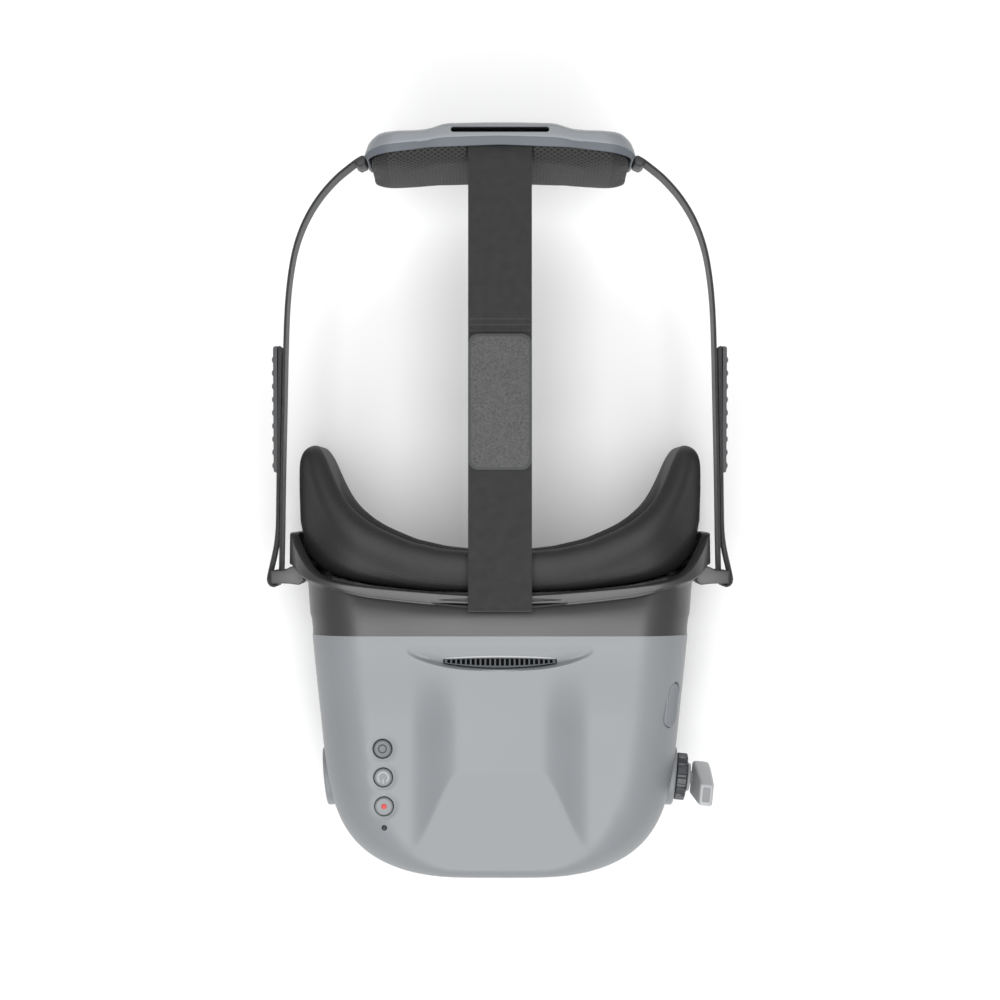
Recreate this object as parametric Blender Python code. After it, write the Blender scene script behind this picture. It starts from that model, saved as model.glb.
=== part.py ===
"""Video goggles with a face frame, foam pad, side antenna, straps and a rear head cradle.

Sizes are millimetres and MM turns them into metres. +Z is up and the front faces -Y.
"""
import math

import bmesh
import bpy
from mathutils import Matrix, Vector

MM = 0.001

# Main housing
REAR_Y = -62.0
TAPER_Y = -61.5
HOUSING_LENGTH = 112.1
HOUSING_HALF_W = 86.9
HOUSING_TAPER = 0.09
CORNER_POWER = 3.42
NOSE_POWER = 6.26
HOUSING_H = 100.0
WALL = 2.0
SHOULDER_R = 24.0
FRONT_R = 5.5
BOTTOM_R = 14.0
LOBE_DROP = 6.2
FACET_Y = -124.0
FACET_SLOPE = 0.17

# Vent in the top, just ahead of the face frame
SCOOP_REAR_Y = -64.5
SCOOP_FRONT_Y = -76.8
SCOOP_HALF_W = 38.6
SCOOP_DEPTH = 4.2
GRILLE_HALF_W = 25.1
GRILLE_SLOTS = 22
GRILLE_PITCH = 2.2

# Buttons on the left lobe and the rocker key on the right shoulder
BUTTON_POS = (("menu", -53.7, -113.7), ("power", -53.4, -126.8), ("record", -53.0, -140.0))
BUTTON_R = 4.2
BUTTON_HOLE_R = 4.7
LED_POS = (-52.9, -149.9)
LED_R = 1.15
KEY_POS = (78.9, -94.2, 84.9)
KEY_TILT = 37.3
KEY_LENGTH = 20.8
KEY_WIDTH = 9.0
KEY_TAPER = 5.1

# Side bosses and the folding antenna
BOSS_POS = (82.2, -130.0, 55.0)
BOSS_R = 13.75
BOSS_TURN = 5.5
NUT_R = 11.0
NUT_LENGTH = 5.2
NUT_RIBS = 14

# Face frame and foam
RIM_FRONT = ((0, -47.0), (14, -47.0), (33.1, -46.5), (47.3, -45.0), (61.4, -43.3),
             (75.6, -40.1), (82.6, -38.3), (89.7, -36.2), (95.5, -29.9))
RIM_REAR = ((0, -43.2), (14.7, -42.9), (26, -42.2), (40.3, -41.0), (54.3, -39.7), (68.4, -38.0),
            (77.7, -35.9), (82.6, -33.0), (86.1, -29.2), (89.0, -24.2), (93.6, -14.9))
FACE_LINE = ((0, -23.4), (14.4, -23.2), (26.1, -22.2), (40.3, -19.0), (54.5, -12.9), (61.6, -8.6),
             (68.7, -2.3), (73.0, 4.1), (77.3, 13.4), (80.1, 21.2), (82.3, 24.7), (84.7, 25.5))
NOSE_LIFT = 26.0
BAR_HALF_W = 31.0
LUG_Z = (54.7, 84.3)

# Straps
TOP_STRAP_W = 28.8
STRAP_T = 1.2
SIDE_STRAP_W = 20.0
SIDE_STRAP_Z = 59.5
SIDE_STRAP_RISE = 7.5

# Rear cradle
CRADLE_HALF_W = 62.0
CRADLE_Z = (46.0, 108.0)
CRADLE_LEAN = 8.5
CRADLE_BULGE = 4.9
CRADLE_FRONT = ((0, 161.4), (31.6, 160.2), (46.3, 158.3), (55.4, 157.0), (61.8, 155.7))
CRADLE_BACK = ((0, 169.9), (7.4, 169.9), (23.5, 169.6), (26.8, 169.0), (31.6, 167.3), (35.9, 166.4),
               (46.3, 166.2), (53.0, 165.5), (55.7, 164.5), (59.3, 161.4), (60.8, 159.8), (61.8, 156.4))


# --- helpers ---------------------------------------------------------------

def linear(value):
    """sRGB 0-255 to the linear value a shader takes."""
    v = value / 255.0
    return v / 12.92 if v <= 0.04045 else ((v + 0.055) / 1.055) ** 2.4


def material(name, rgb, rough, metal=0.0, clear=0.0):
    """Plain Principled material."""
    mat = bpy.data.materials.new(name)
    mat.use_nodes = True
    shader = mat.node_tree.nodes["Principled BSDF"]
    shader.inputs["Base Color"].default_value = (*[linear(c) for c in rgb], 1.0)
    shader.inputs["Roughness"].default_value = rough
    shader.inputs["Metallic"].default_value = metal
    shader.inputs["Transmission Weight"].default_value = clear
    return mat


def step(a, b, t):
    """Smooth 0-1 step as t goes from a to b."""
    k = min(1.0, max(0.0, (t - a) / (b - a)))
    return k * k * (3.0 - 2.0 * k)


def lookup(points, x):
    """Straight-line look-up in (x, y) pairs, the same on both sides."""
    x = abs(x)
    for (x0, y0), (x1, y1) in zip(points, points[1:]):
        if x <= x1:
            return y0 + (y1 - y0) * (x - x0) / (x1 - x0)
    return points[-1][1]


def finish(name, bm, mat, pivot=(0.0, 0.0, 0.0), smooth=True):
    """Turn a millimetre bmesh into a named object whose origin is the pivot."""
    bmesh.ops.remove_doubles(bm, verts=bm.verts, dist=1e-4)
    bmesh.ops.recalc_face_normals(bm, faces=bm.faces)
    origin = Vector(pivot)
    for vert in bm.verts:
        vert.co = (vert.co - origin) * MM
    mesh = bpy.data.meshes.new(name)
    bm.to_mesh(mesh)
    bm.free()
    mesh.materials.append(mat)
    for poly in mesh.polygons:
        poly.use_smooth = smooth
    obj = bpy.data.objects.new(name, mesh)
    obj.location = origin * MM
    bpy.context.scene.collection.objects.link(obj)
    return obj


def shape(obj, name, bm, operation="DIFFERENCE"):
    """Cut a shape out of an object, or join one to it."""
    tool = finish(name, bm, obj.data.materials[0])
    tool.hide_render = True
    tool.display_type = "WIRE"
    mod = obj.modifiers.new(name, "BOOLEAN")
    mod.operation = operation
    mod.solver = "EXACT"
    mod.object = tool


def box(bm, x0, x1, y0, y1, z0, z1, turn=Matrix.Identity(4)):
    """Block between two corners."""
    place = Matrix.Translation(((x0 + x1) / 2, (y0 + y1) / 2, (z0 + z1) / 2))
    size = Matrix.Diagonal((x1 - x0, y1 - y0, z1 - z0, 1.0))
    bmesh.ops.create_cube(bm, size=1.0, matrix=turn @ place @ size)


def rod(bm, centre, axis, radius, length, segs=20, turn=Matrix.Identity(4)):
    """Round bar about an axis."""
    aim = Vector((0, 0, 1)).rotation_difference(Vector(axis)).to_matrix().to_4x4()
    place = turn @ Matrix.Translation(centre) @ aim
    bmesh.ops.create_cone(bm, cap_ends=True, segments=segs, radius1=radius, radius2=radius,
                          depth=length, matrix=place)


def zip_cap(bm, row, flip):
    """Close a ring with strips that run from its lower edge to its upper edge."""
    half = len(row) // 2
    for i in range((half - 1) // 2 + 1):
        for side in (1, -1):
            quad = [row[side * i], row[side * (i + 1)], row[side * (half - i - 1)], row[side * (half - i)]]
            quad = quad if (side == 1) == flip else quad[::-1]
            if len(set(quad)) == 4:
                bm.faces.new(quad)


def loft(bm, rings, caps=False, loop=False, zips=False):
    """Skin a run of rings that have the same number of points."""
    rows = [[bm.verts.new(p) for p in ring] for ring in rings]
    pairs = list(zip(rows, rows[1:]))
    if loop:
        pairs.append((rows[-1], rows[0]))
    for a, b in pairs:
        for i in range(len(a)):
            j = (i + 1) % len(a)
            bm.faces.new((a[i], a[j], b[j], b[i]))
    if zips:
        zip_cap(bm, rows[0], False)
        zip_cap(bm, rows[-1], True)
    if caps:
        bm.faces.new(rows[0][::-1])
        bm.faces.new(rows[-1])


def turned(bm, profile, place, segs=24, loop=False):
    """Body of revolution about local Z from (radius, height) pairs."""
    rings = []
    for radius, height in profile:
        angles = [2 * math.pi * k / segs for k in range(segs)]
        ring = [place @ Vector((radius * math.cos(a), radius * math.sin(a), height)) for a in angles]
        rings.append(ring)
    loft(bm, rings, caps=not loop, loop=loop)


def prism(bm, outline, z0, z1, place=Matrix.Identity(4)):
    """Straight-sided body from a flat outline."""
    rings = [[place @ Vector((x, y, z)) for x, y in outline] for z in (z0, z1)]
    loft(bm, rings, caps=True)


def rounded(half_x, half_y, radius, arc=4):
    """Rounded rectangle outline about the origin."""
    points = []
    for sx, sy, start in ((1, 1, 0), (-1, 1, 90), (-1, -1, 180), (1, -1, 270)):
        for k in range(arc + 1):
            a = math.radians(start + 90 * k / arc)
            x = sx * (half_x - radius) + radius * math.cos(a)
            points.append((x, sy * (half_y - radius) + radius * math.sin(a)))
    return points


def section(w, z0, z1, r_top, r_low, flat=7, arc=4, wall=3):
    """Outline across the goggles as (x, z), from bottom centre round the right side."""
    half = [((w - r_low) * (k / flat) ** 1.2, z0) for k in range(flat)]
    for k in range(arc + 1):
        a = math.radians(-90 + 90 * k / arc)
        half.append((w - r_low + r_low * math.cos(a), z0 + r_low + r_low * math.sin(a)))
    for k in range(1, wall):
        half.append((w, z0 + r_low + (z1 - r_top - z0 - r_low) * k / wall))
    for k in range(arc + 1):
        a = math.radians(90 * k / arc)
        half.append((w - r_top + r_top * math.cos(a), z1 - r_top + r_top * math.sin(a)))
    half += [((w - r_top) * (k / flat) ** 1.2, z1) for k in range(flat - 1, -1, -1)]
    return half + [(-x, z) for x, z in half[-2:0:-1]]


def nose(x, z):
    """Height after the arch that leaves room for the nose."""
    return z + NOSE_LIFT * (1 - step(6, 34, abs(x))) * (1 - step(0, 58, z))


def strap(bm, path, across, width):
    """Flat strap: path of (u, v) points, width gives (low, high), across makes the 3-D point."""
    rings = []
    for i, (u, v) in enumerate(path):
        before = Vector(path[max(i - 1, 0)])
        after = Vector(path[min(i + 1, len(path) - 1)])
        run = (after - before).normalized()
        du = -run.y * STRAP_T / 2
        dv = run.x * STRAP_T / 2
        low, high = width(u, v)
        corners = ((u + du, v + dv, low), (u + du, v + dv, high), (u - du, v - dv, high), (u - du, v - dv, low))
        rings.append([across(*c) for c in corners])
    loft(bm, rings, caps=True)


for old in list(bpy.data.objects):
    bpy.data.objects.remove(old, do_unlink=True)

HOUSING_GREY = material("housing grey", (168, 172, 175), 0.42)
FRAME_GREY = material("frame grey", (92, 92, 92), 0.5)
BLACK_PLASTIC = material("black plastic", (34, 35, 37), 0.5)
SOFT_BLACK = material("soft black foam", (44, 44, 44), 0.9)
WEBBING = material("webbing", (58, 59, 61), 0.95)
TAB_GREY = material("tab grey", (84, 85, 86), 0.9)
CRADLE_GREY = material("cradle grey", (138, 143, 147), 0.45)
ANTENNA_GREY = material("antenna grey", (188, 190, 191), 0.4)
RING_GREY = material("ring grey", (104, 108, 112), 0.45)
BUTTON_GREY = material("button grey", (150, 154, 157), 0.4)
RED = material("signal red", (206, 60, 60), 0.4)
CLEAR = material("clear optics", (225, 230, 232), 0.05, 0.0, 0.9)
SCREEN = material("screen black", (12, 14, 18), 0.1)
BOARD_GREEN = material("board green", (22, 74, 48), 0.5)
STEEL = material("steel", (178, 180, 182), 0.3, 1.0)
BRASS = material("gold plate", (212, 172, 92), 0.28, 1.0)
CELL_WRAP = material("cell wrap", (52, 68, 110), 0.35)


# --- main housing ----------------------------------------------------------

def base_width(y):
    """Half-width of the straight tapering side."""
    return HOUSING_HALF_W - HOUSING_TAPER * (TAPER_Y - y)


def side_x(y):
    """Half-width of the housing at a given length."""
    d = min(1.0, max(0.0, (TAPER_Y - y) / HOUSING_LENGTH))
    return base_width(y) * (1 - d ** NOSE_POWER) ** (1 / CORNER_POWER)


def front_y(x):
    """Front outline at a given half-width."""
    y = TAPER_Y - HOUSING_LENGTH
    for _ in range(8):
        d = (1 - (abs(x) / base_width(y)) ** CORNER_POWER) ** (1 / NOSE_POWER)
        y = TAPER_Y - HOUSING_LENGTH * d
    return y


def scoop(x, y):
    """Depth of the dip that leads into the vent."""
    edge = 1 - (x / SCOOP_HALF_W) ** 2
    if edge <= 0:
        return 0.0
    front = SCOOP_FRONT_Y + (x / SCOOP_HALF_W) ** 2 * 7.7
    rise = min(1.0, max(0.0, (y - front) / 4.5))
    fall = 1 - step(front + 5.0, SCOOP_REAR_Y, y)
    return SCOOP_DEPTH * math.sqrt(edge) * min(rise, fall)


def top_z(x, y):
    """Top of the housing: raised centre, lower lobes and a facet sloping to the front."""
    lobes = HOUSING_H - LOBE_DROP * step(-64, -105, y) * step(18, 42, abs(x))
    facet = HOUSING_H - FACET_SLOPE * max(0.0, FACET_Y - y)
    return min(lobes, facet) - scoop(x, y)


def housing_line(x, y, spine_y, arc=4, wall=2, top=8, low=3):
    """One line over the housing from the bottom spine, up the wall, to the top spine."""
    ahead = Vector((side_x(y + 0.4), y + 0.4)) - Vector((x, y))
    if y < -150:
        ahead = Vector((x + 0.4, front_y(x + 0.4))) - Vector((x, y))
    inward = Vector((-ahead.y, ahead.x)).normalized()
    if y > REAR_Y - 0.5:
        inward = Vector((-1.0, 0.0))
    if x < 0.1:
        inward = Vector((0.0, 1.0))
    spine = Vector((0.0, spine_y))
    edge = Vector((x, y))
    shoulder = FRONT_R + (SHOULDER_R - FRONT_R) * step(20, 74, x)
    line = []
    foot = edge + inward * BOTTOM_R
    for k in range(low):
        p = spine.lerp(foot, k / low)
        line.append((p.x, p.y, 0.0))
    for k in range(arc):
        a = math.radians(90 * k / (arc - 1))
        p = edge + inward * BOTTOM_R * (1 - math.sin(a))
        line.append((p.x, p.y, BOTTOM_R * (1 - math.cos(a))))
    crest = edge + inward * shoulder
    wall_top = top_z(crest.x, crest.y) - shoulder
    for k in range(1, wall):
        line.append((edge.x, edge.y, BOTTOM_R + (wall_top - BOTTOM_R) * k / wall))
    for k in range(arc + 1):
        a = math.radians(90 * k / arc)
        p = edge + inward * shoulder * (1 - math.cos(a))
        local = top_z(crest.x, crest.y) + (top_z(p.x, p.y) - top_z(crest.x, crest.y)) * math.sin(a)
        line.append((p.x, p.y, local - shoulder * (1 - math.sin(a))))
    for k in range(1, top + 1):
        p = crest.lerp(spine, k / top)
        line.append((p.x, p.y, top_z(p.x, p.y)))
    return line


def build_housing():
    """Light-grey shell, open at the rear, with every opening cut through its wall."""
    stations = [(side_x(y), y, y) for y in (-62, -65, -68, -71, -74, -77, -85)]
    ahead = [(side_x(y), y) for y in (-94, -104, -114, -124, -132, -140, -147, -153)]
    ahead += [(x, front_y(x)) for x in (66, 60, 53, 45, 36, 27, 18, 9, 0)]
    for k, (x, y) in enumerate(ahead):
        stations.append((x, y, -85 - 54 * (k + 1) / len(ahead)))
    bm = bmesh.new()
    for side in (1, -1):
        rows = []
        for x, y, spine_y in stations:
            rows.append([bm.verts.new((side * p[0], p[1], p[2])) for p in housing_line(x, y, spine_y)])
        for a, b in zip(rows, rows[1:]):
            for i in range(len(a) - 1):
                quad = (a[i], a[i + 1], b[i + 1], b[i])
                bm.faces.new(quad if side == 1 else quad[::-1])
    bmesh.ops.remove_doubles(bm, verts=bm.verts, dist=1e-3)
    shell = finish("housing", bm, HOUSING_GREY)
    skin = shell.modifiers.new("wall", "SOLIDIFY")
    skin.thickness = WALL * MM
    skin.offset = -1.0
    skin.use_even_offset = True
    holes = bmesh.new()
    for _, x, y in BUTTON_POS:
        rod(holes, (x, y, 93), (0, 0, 1), BUTTON_HOLE_R, 10, 20)
    rod(holes, (*LED_POS, 93), (0, 0, 1), LED_R + 0.3, 12, 12)
    grille = grille_outline(0.75)
    prism(holes, grille, 88, 104)
    prism(holes, rounded(KEY_LENGTH / 2 + 0.4, KEY_WIDTH / 2 + 0.4, 4.6), -6, 6, KEY_PLACE)
    for side in (-1, 1):
        rod(holes, (0, 0, -6), (0, 0, 1), BOSS_R + 0.3, 26, 32, boss_place(side))
        for x in (20, 58):
            rod(holes, (side * x, -68, 0), (0, 0, 1), 2.7, 12, 14)
    prism(holes, rounded(7.8, 12.3, 2.0), -8, 8, PORT_PLACE)
    rod(holes, (0, 0, 0), (0, 0, 1), 2.2, 12, 16, JACK_PLACE)
    shape(shell, "housing_holes", holes)


def grille_outline(grow):
    """Lens shape of the vent opening with an even margin."""
    points = []
    half = GRILLE_HALF_W + grow
    for k in range(13):
        x = -half + 2 * half * k / 12
        points.append((x, -75.3 - (1 - (x / half) ** 2) * 0.6 - grow))
    for k in range(13):
        x = half - 2 * half * k / 12
        points.append((x, -72.7 + (1 - (x / half) ** 2) * 0.6 + grow))
    return points


def grille_z(y):
    """Height of the sloping grille face."""
    return 95.6 + (-72.1 - y) * 0.75


def build_grille():
    """Slotted strip that sits in the vent opening."""
    bm = bmesh.new()
    edges = [-GRILLE_HALF_W]
    for k in range(GRILLE_SLOTS):
        centre = (k - (GRILLE_SLOTS - 1) / 2) * GRILLE_PITCH
        edges += [centre - 0.65, centre + 0.65]
    edges.append(GRILLE_HALF_W)
    rows = []
    for x in edges:
        spread = 1 - (x / GRILLE_HALF_W) ** 2
        low = -75.3 - spread * 0.6
        high = -72.7 + spread * 0.6
        ys = (low, low + 0.5, high - 0.5, high)
        rows.append([bm.verts.new((x, y, grille_z(y))) for y in ys])
    for n, (a, b) in enumerate(zip(rows, rows[1:])):
        for i in range(3):
            if i == 1 and n % 2 == 1:
                continue
            bm.faces.new((a[i], b[i], b[i + 1], a[i + 1]))
    grid = finish("vent_grille", bm, BLACK_PLASTIC, smooth=False)
    skin = grid.modifiers.new("depth", "SOLIDIFY")
    skin.thickness = 1.2 * MM
    skin.offset = 0.0


def boss_place(side):
    """Frame of a side boss: local Z points out of the side."""
    x, y, z = BOSS_POS
    turn = Matrix.Rotation(math.radians(-side * BOSS_TURN), 4, "Z")
    out = Matrix.Rotation(math.radians(side * 90), 4, "Y")
    return Matrix.Translation((side * x, y, z)) @ turn @ out


KEY_PLACE = (Matrix.Translation(KEY_POS) @ Matrix.Rotation(math.radians(-KEY_TAPER), 4, "Z")
             @ Matrix.Rotation(math.radians(90 - KEY_TILT), 4, "Y") @ Matrix.Rotation(math.radians(90), 4, "Z"))
PORT_PLACE = (Matrix.Translation((-side_x(-94.5), -94.5, 58)) @ Matrix.Rotation(math.radians(5.1), 4, "Z")
              @ Matrix.Rotation(math.radians(-90), 4, "Y") @ Matrix.Rotation(math.radians(90), 4, "Z"))
JACK_PLACE = (Matrix.Translation((side_x(-94.2), -94.2, 58)) @ Matrix.Rotation(math.radians(-5.1), 4, "Z")
              @ Matrix.Rotation(math.radians(90), 4, "Y"))


# --- controls --------------------------------------------------------------

def build_controls():
    """Three push buttons with their board and switches, the status light and the rocker key."""
    for name, x, y in BUTTON_POS:
        bm = bmesh.new()
        profile = ((1.5, 88.1), (1.5, 89.4), (5.3, 89.4), (5.3, 90.3), (BUTTON_R, 90.4), (BUTTON_R, 93.9),
                   (BUTTON_R - 0.4, 94.3), (1.8, 94.1))
        turned(bm, profile, Matrix.Translation((x, y, 0)), 20)
        finish("button_" + name, bm, BUTTON_GREY, (x, y, 90.2))
        bm = bmesh.new()
        prism(bm, rounded(3.0, 3.0, 0.6, 2), 86.2, 87.0, Matrix.Translation((x, y, 0)))
        switch = finish("switch_" + name, bm, BLACK_PLASTIC, smooth=False)
        bm = bmesh.new()
        rod(bm, (x, y, 86.9), (0, 0, 1), 1.7, 1.0, 14)
        shape(switch, "switch_stem_" + name, bm, "UNION")
    _, x, y = BUTTON_POS[2]
    bm = bmesh.new()
    turned(bm, ((0.9, 94.42), (0.9, 94.72), (0.7, 94.8)), Matrix.Translation((x, y, 0)), 14)
    finish("record_dot", bm, RED, (x, y, 90.2))
    bm = bmesh.new()
    turned(bm, ((1.7, 86.2), (1.7, 87.6), (LED_R, 88.2), (LED_R, 93.0), (LED_R - 0.3, 93.3)),
           Matrix.Translation((*LED_POS, 0)), 14)
    finish("status_light", bm, SCREEN)
    bm = bmesh.new()
    box(bm, -56.4, -45, -151.8, -106, 84.7, 85.9)
    board = finish("button_board", bm, BOARD_GREEN, smooth=False)
    bm = bmesh.new()
    for y in (-108.3, -133.4):
        rod(bm, (-47.6, y, 86), (0, 0, 1), 1.4, 6, 14)
    shape(board, "button_board_holes", bm)
    for k, y in enumerate((-108.3, -133.4)):
        bm = bmesh.new()
        profile = ((2.0, 83.0), (2.0, 84.4), (1.0, 84.4), (1.0, 90.9))
        turned(bm, profile, Matrix.Translation((-47.6, y, 0)), 12)
        finish("board_screw_%d" % (k + 1), bm, STEEL)
    bm = bmesh.new()
    levels = ((9.6, 3.9, -3.0), (10.4, 4.5, -2.6), (10.4, 4.5, 0.3), (9.9, 4.0, 0.8), (7.6, 2.3, 0.35))
    rings = []
    for half_l, half_w, h in levels:
        outline = rounded(half_l, half_w, half_w - 0.05, 5)
        rings.append([KEY_PLACE @ Vector((x, y, h)) for x, y in outline])
    loft(bm, rings, caps=True)
    finish("rocker_key", bm, BUTTON_GREY, KEY_PLACE @ Vector((0, 0, -1.5)))
    bm = bmesh.new()
    prism(bm, rounded(9.5, 4.0, 0.8, 2), -6.2, -5.2, KEY_PLACE)
    finish("rocker_board", bm, BOARD_GREEN, smooth=False)
    for k, x in enumerate((-6.5, 6.5)):
        bm = bmesh.new()
        prism(bm, rounded(2.0, 2.0, 0.4, 2), -4.9, -3.9, KEY_PLACE @ Matrix.Translation((x, 0, 0)))
        finish("rocker_switch_%d" % (k + 1), bm, BLACK_PLASTIC, smooth=False)


# --- sockets on the sides --------------------------------------------------

def build_ports():
    """Port panel with a USB socket and a card slot on the left, a jack on the right."""
    bm = bmesh.new()
    prism(bm, rounded(7.4, 11.9, 1.7), -3.6, -1.2, PORT_PLACE)
    panel = finish("port_panel", bm, BLACK_PLASTIC, smooth=False)
    bm = bmesh.new()
    prism(bm, rounded(4.8, 1.95, 1.9), -10, 4, PORT_PLACE @ Matrix.Translation((0, 6.0, 0)))
    prism(bm, rounded(6.6, 1.6, 0.4), -10, 4, PORT_PLACE @ Matrix.Translation((0, -4.2, 0)))
    shape(panel, "port_panel_holes", bm)
    usb = PORT_PLACE @ Matrix.Translation((0, 6.0, 0))
    bm = bmesh.new()
    rings = []
    for half_x, half_y, h in ((4.45, 1.6, -8.5), (4.45, 1.6, -1.4), (4.1, 1.25, -1.4), (4.1, 1.25, -7.6)):
        rings.append([usb @ Vector((x, y, h)) for x, y in rounded(half_x, half_y, half_y - 0.02)])
    loft(bm, rings, caps=True)
    finish("usb_socket", bm, STEEL)
    slot = PORT_PLACE @ Matrix.Translation((0, -4.2, 0))
    bm = bmesh.new()
    rings = []
    for half_x, half_y, h in ((6.3, 1.3, -19), (6.3, 1.3, -1.4), (5.9, 0.8, -1.4), (5.9, 0.8, -18)):
        rings.append([slot @ Vector((x, y, h)) for x, y in rounded(half_x, half_y, 0.3, 2)])
    loft(bm, rings, caps=True)
    finish("card_slot", bm, STEEL, smooth=False)
    bm = bmesh.new()
    prism(bm, rounded(5.5, 0.4, 0.2, 2), -16.5, -1.6, slot)
    finish("memory_card", bm, BLACK_PLASTIC, smooth=False)
    bm = bmesh.new()
    turned(bm, ((3.4, -12.0), (3.4, -2.6), (1.9, -2.4), (1.9, 0.0), (1.4, 0.3), (1.2, 0.0), (1.2, -11.0)),
           JACK_PLACE, 16)
    finish("side_jack", bm, BLACK_PLASTIC)


# --- side bosses and antenna -----------------------------------------------

def build_antenna():
    """Boss plugs, threaded socket, knurled nut, knuckle, hinge pin and folding blade."""
    for side, label in ((-1, "left"), (1, "right")):
        place = boss_place(side)
        bm = bmesh.new()
        if side == 1:
            profile = ((3.5, -6.2), (BOSS_R, -6.2), (BOSS_R, -0.9), (BOSS_R - 0.9, 0.0), (3.5, 0.0))
            turned(bm, profile, place, 32, loop=True)
        else:
            turned(bm, ((BOSS_R, -6.2), (BOSS_R, -0.9), (BOSS_R - 0.9, 0.0)), place, 32)
        finish("boss_" + label, bm, HOUSING_GREY)
    place = boss_place(1)
    bm = bmesh.new()
    turned(bm, ((2.2, -13.0), (2.2, -9.4), (4.6, -9.3), (4.6, -6.6), (3.2, -6.5), (3.2, 4.6), (2.9, 4.9)),
           place, 18)
    finish("sma_socket", bm, BRASS)
    bm = bmesh.new()
    segs = NUT_RIBS * 4
    rings = []
    levels = ((3.6, 0.0, 0.35), (9.9, 0.0, 0.35), (NUT_R, 0.6, 0.9), (NUT_R, 0.6, NUT_LENGTH - 0.3),
              (9.9, 0.0, NUT_LENGTH + 0.25), (3.6, 0.0, NUT_LENGTH + 0.25))
    for radius, rib, h in levels:
        ring = []
        for k in range(segs):
            a = 2 * math.pi * k / segs
            r = radius - (rib * 1.6 if k % 4 in (2, 3) else 0.0)
            ring.append(place @ Vector((r * math.cos(a), r * math.sin(a), h)))
        rings.append(ring)
    loft(bm, rings, loop=True)
    pivot = place @ Vector((0, 0, 3))
    finish("antenna_nut", bm, RING_GREY, pivot)
    bm = bmesh.new()
    turned(bm, ((6.2, 5.8), (6.5, 6.1), (6.5, 6.9), (6.2, 7.2)), place, 24)
    knuckle = finish("antenna_knuckle", bm, ANTENNA_GREY, pivot)
    bm = bmesh.new()
    outline = [(-2.6, 6.6), (2.6, 6.6)]
    for k in range(9):
        a = math.radians(180 * k / 8)
        outline.append((2.6 * math.cos(a), 11.8 + 2.6 * math.sin(a)))
    loft(bm, [[place @ Vector((x, y, z)) for x, z in outline] for y in (-2.7, 2.7)], caps=True)
    shape(knuckle, "knuckle_tongue", bm, "UNION")
    bm = bmesh.new()
    rod(bm, (0, 0, 11.8), (0, 1, 0), 1.3, 10, 16, place)
    shape(knuckle, "knuckle_bore", bm)
    bm = bmesh.new()
    rod(bm, (0, 0, 11.8), (0, 1, 0), 1.0, 13.6, 16, place)
    finish("antenna_pin", bm, STEEL, place @ Vector((0, 0, 11.8)))
    build_blade(place)


def build_blade(place):
    """Flat antenna blade standing up from its hinge; local -X is up."""
    bm = bmesh.new()
    rings = []
    levels = ((-4.1, 0.9, 7.4), (-3.7, 1.9, 7.6), (-2.9, 3.0, 7.8), (-1.5, 3.85, 7.9), (3.0, 4.0, 7.8),
              (12.0, 3.9, 7.4), (28.0, 3.6, 6.3), (41.0, 3.3, 5.3), (44.2, 3.0, 5.0), (45.0, 2.4, 4.4))
    for up, half_t, half_w in levels:
        shift = 7.9 - half_w
        outline = rounded(half_t, half_w, min(1.8, half_t - 0.1), 3)
        rings.append([place @ Vector((-up, s - shift, 11.9 + t)) for t, s in outline])
    loft(bm, rings, caps=True)
    blade = finish("antenna_blade", bm, ANTENNA_GREY, place @ Vector((0, 0, 11.8)))
    bm = bmesh.new()
    box(bm, -6.4, 12, -3.0, 3.0, 4, 20, place)
    shape(blade, "blade_fork", bm)
    bm = bmesh.new()
    rod(bm, (0, 0, 11.8), (0, 1, 0), 1.3, 14.2, 16, place)
    shape(blade, "blade_bore", bm)


# --- optics and electronics inside -----------------------------------------

def xz_plate(bm, rings_spec):
    """Skin rounded rectangles drawn across the goggles: (half_w, z0, z1, radius, y)."""
    rings = []
    for half_w, z0, z1, radius, y in rings_spec:
        outline = rounded(half_w, (z1 - z0) / 2, radius, 4)
        rings.append([Vector((x, y, (z0 + z1) / 2 + z)) for x, z in outline])
    return rings


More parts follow.
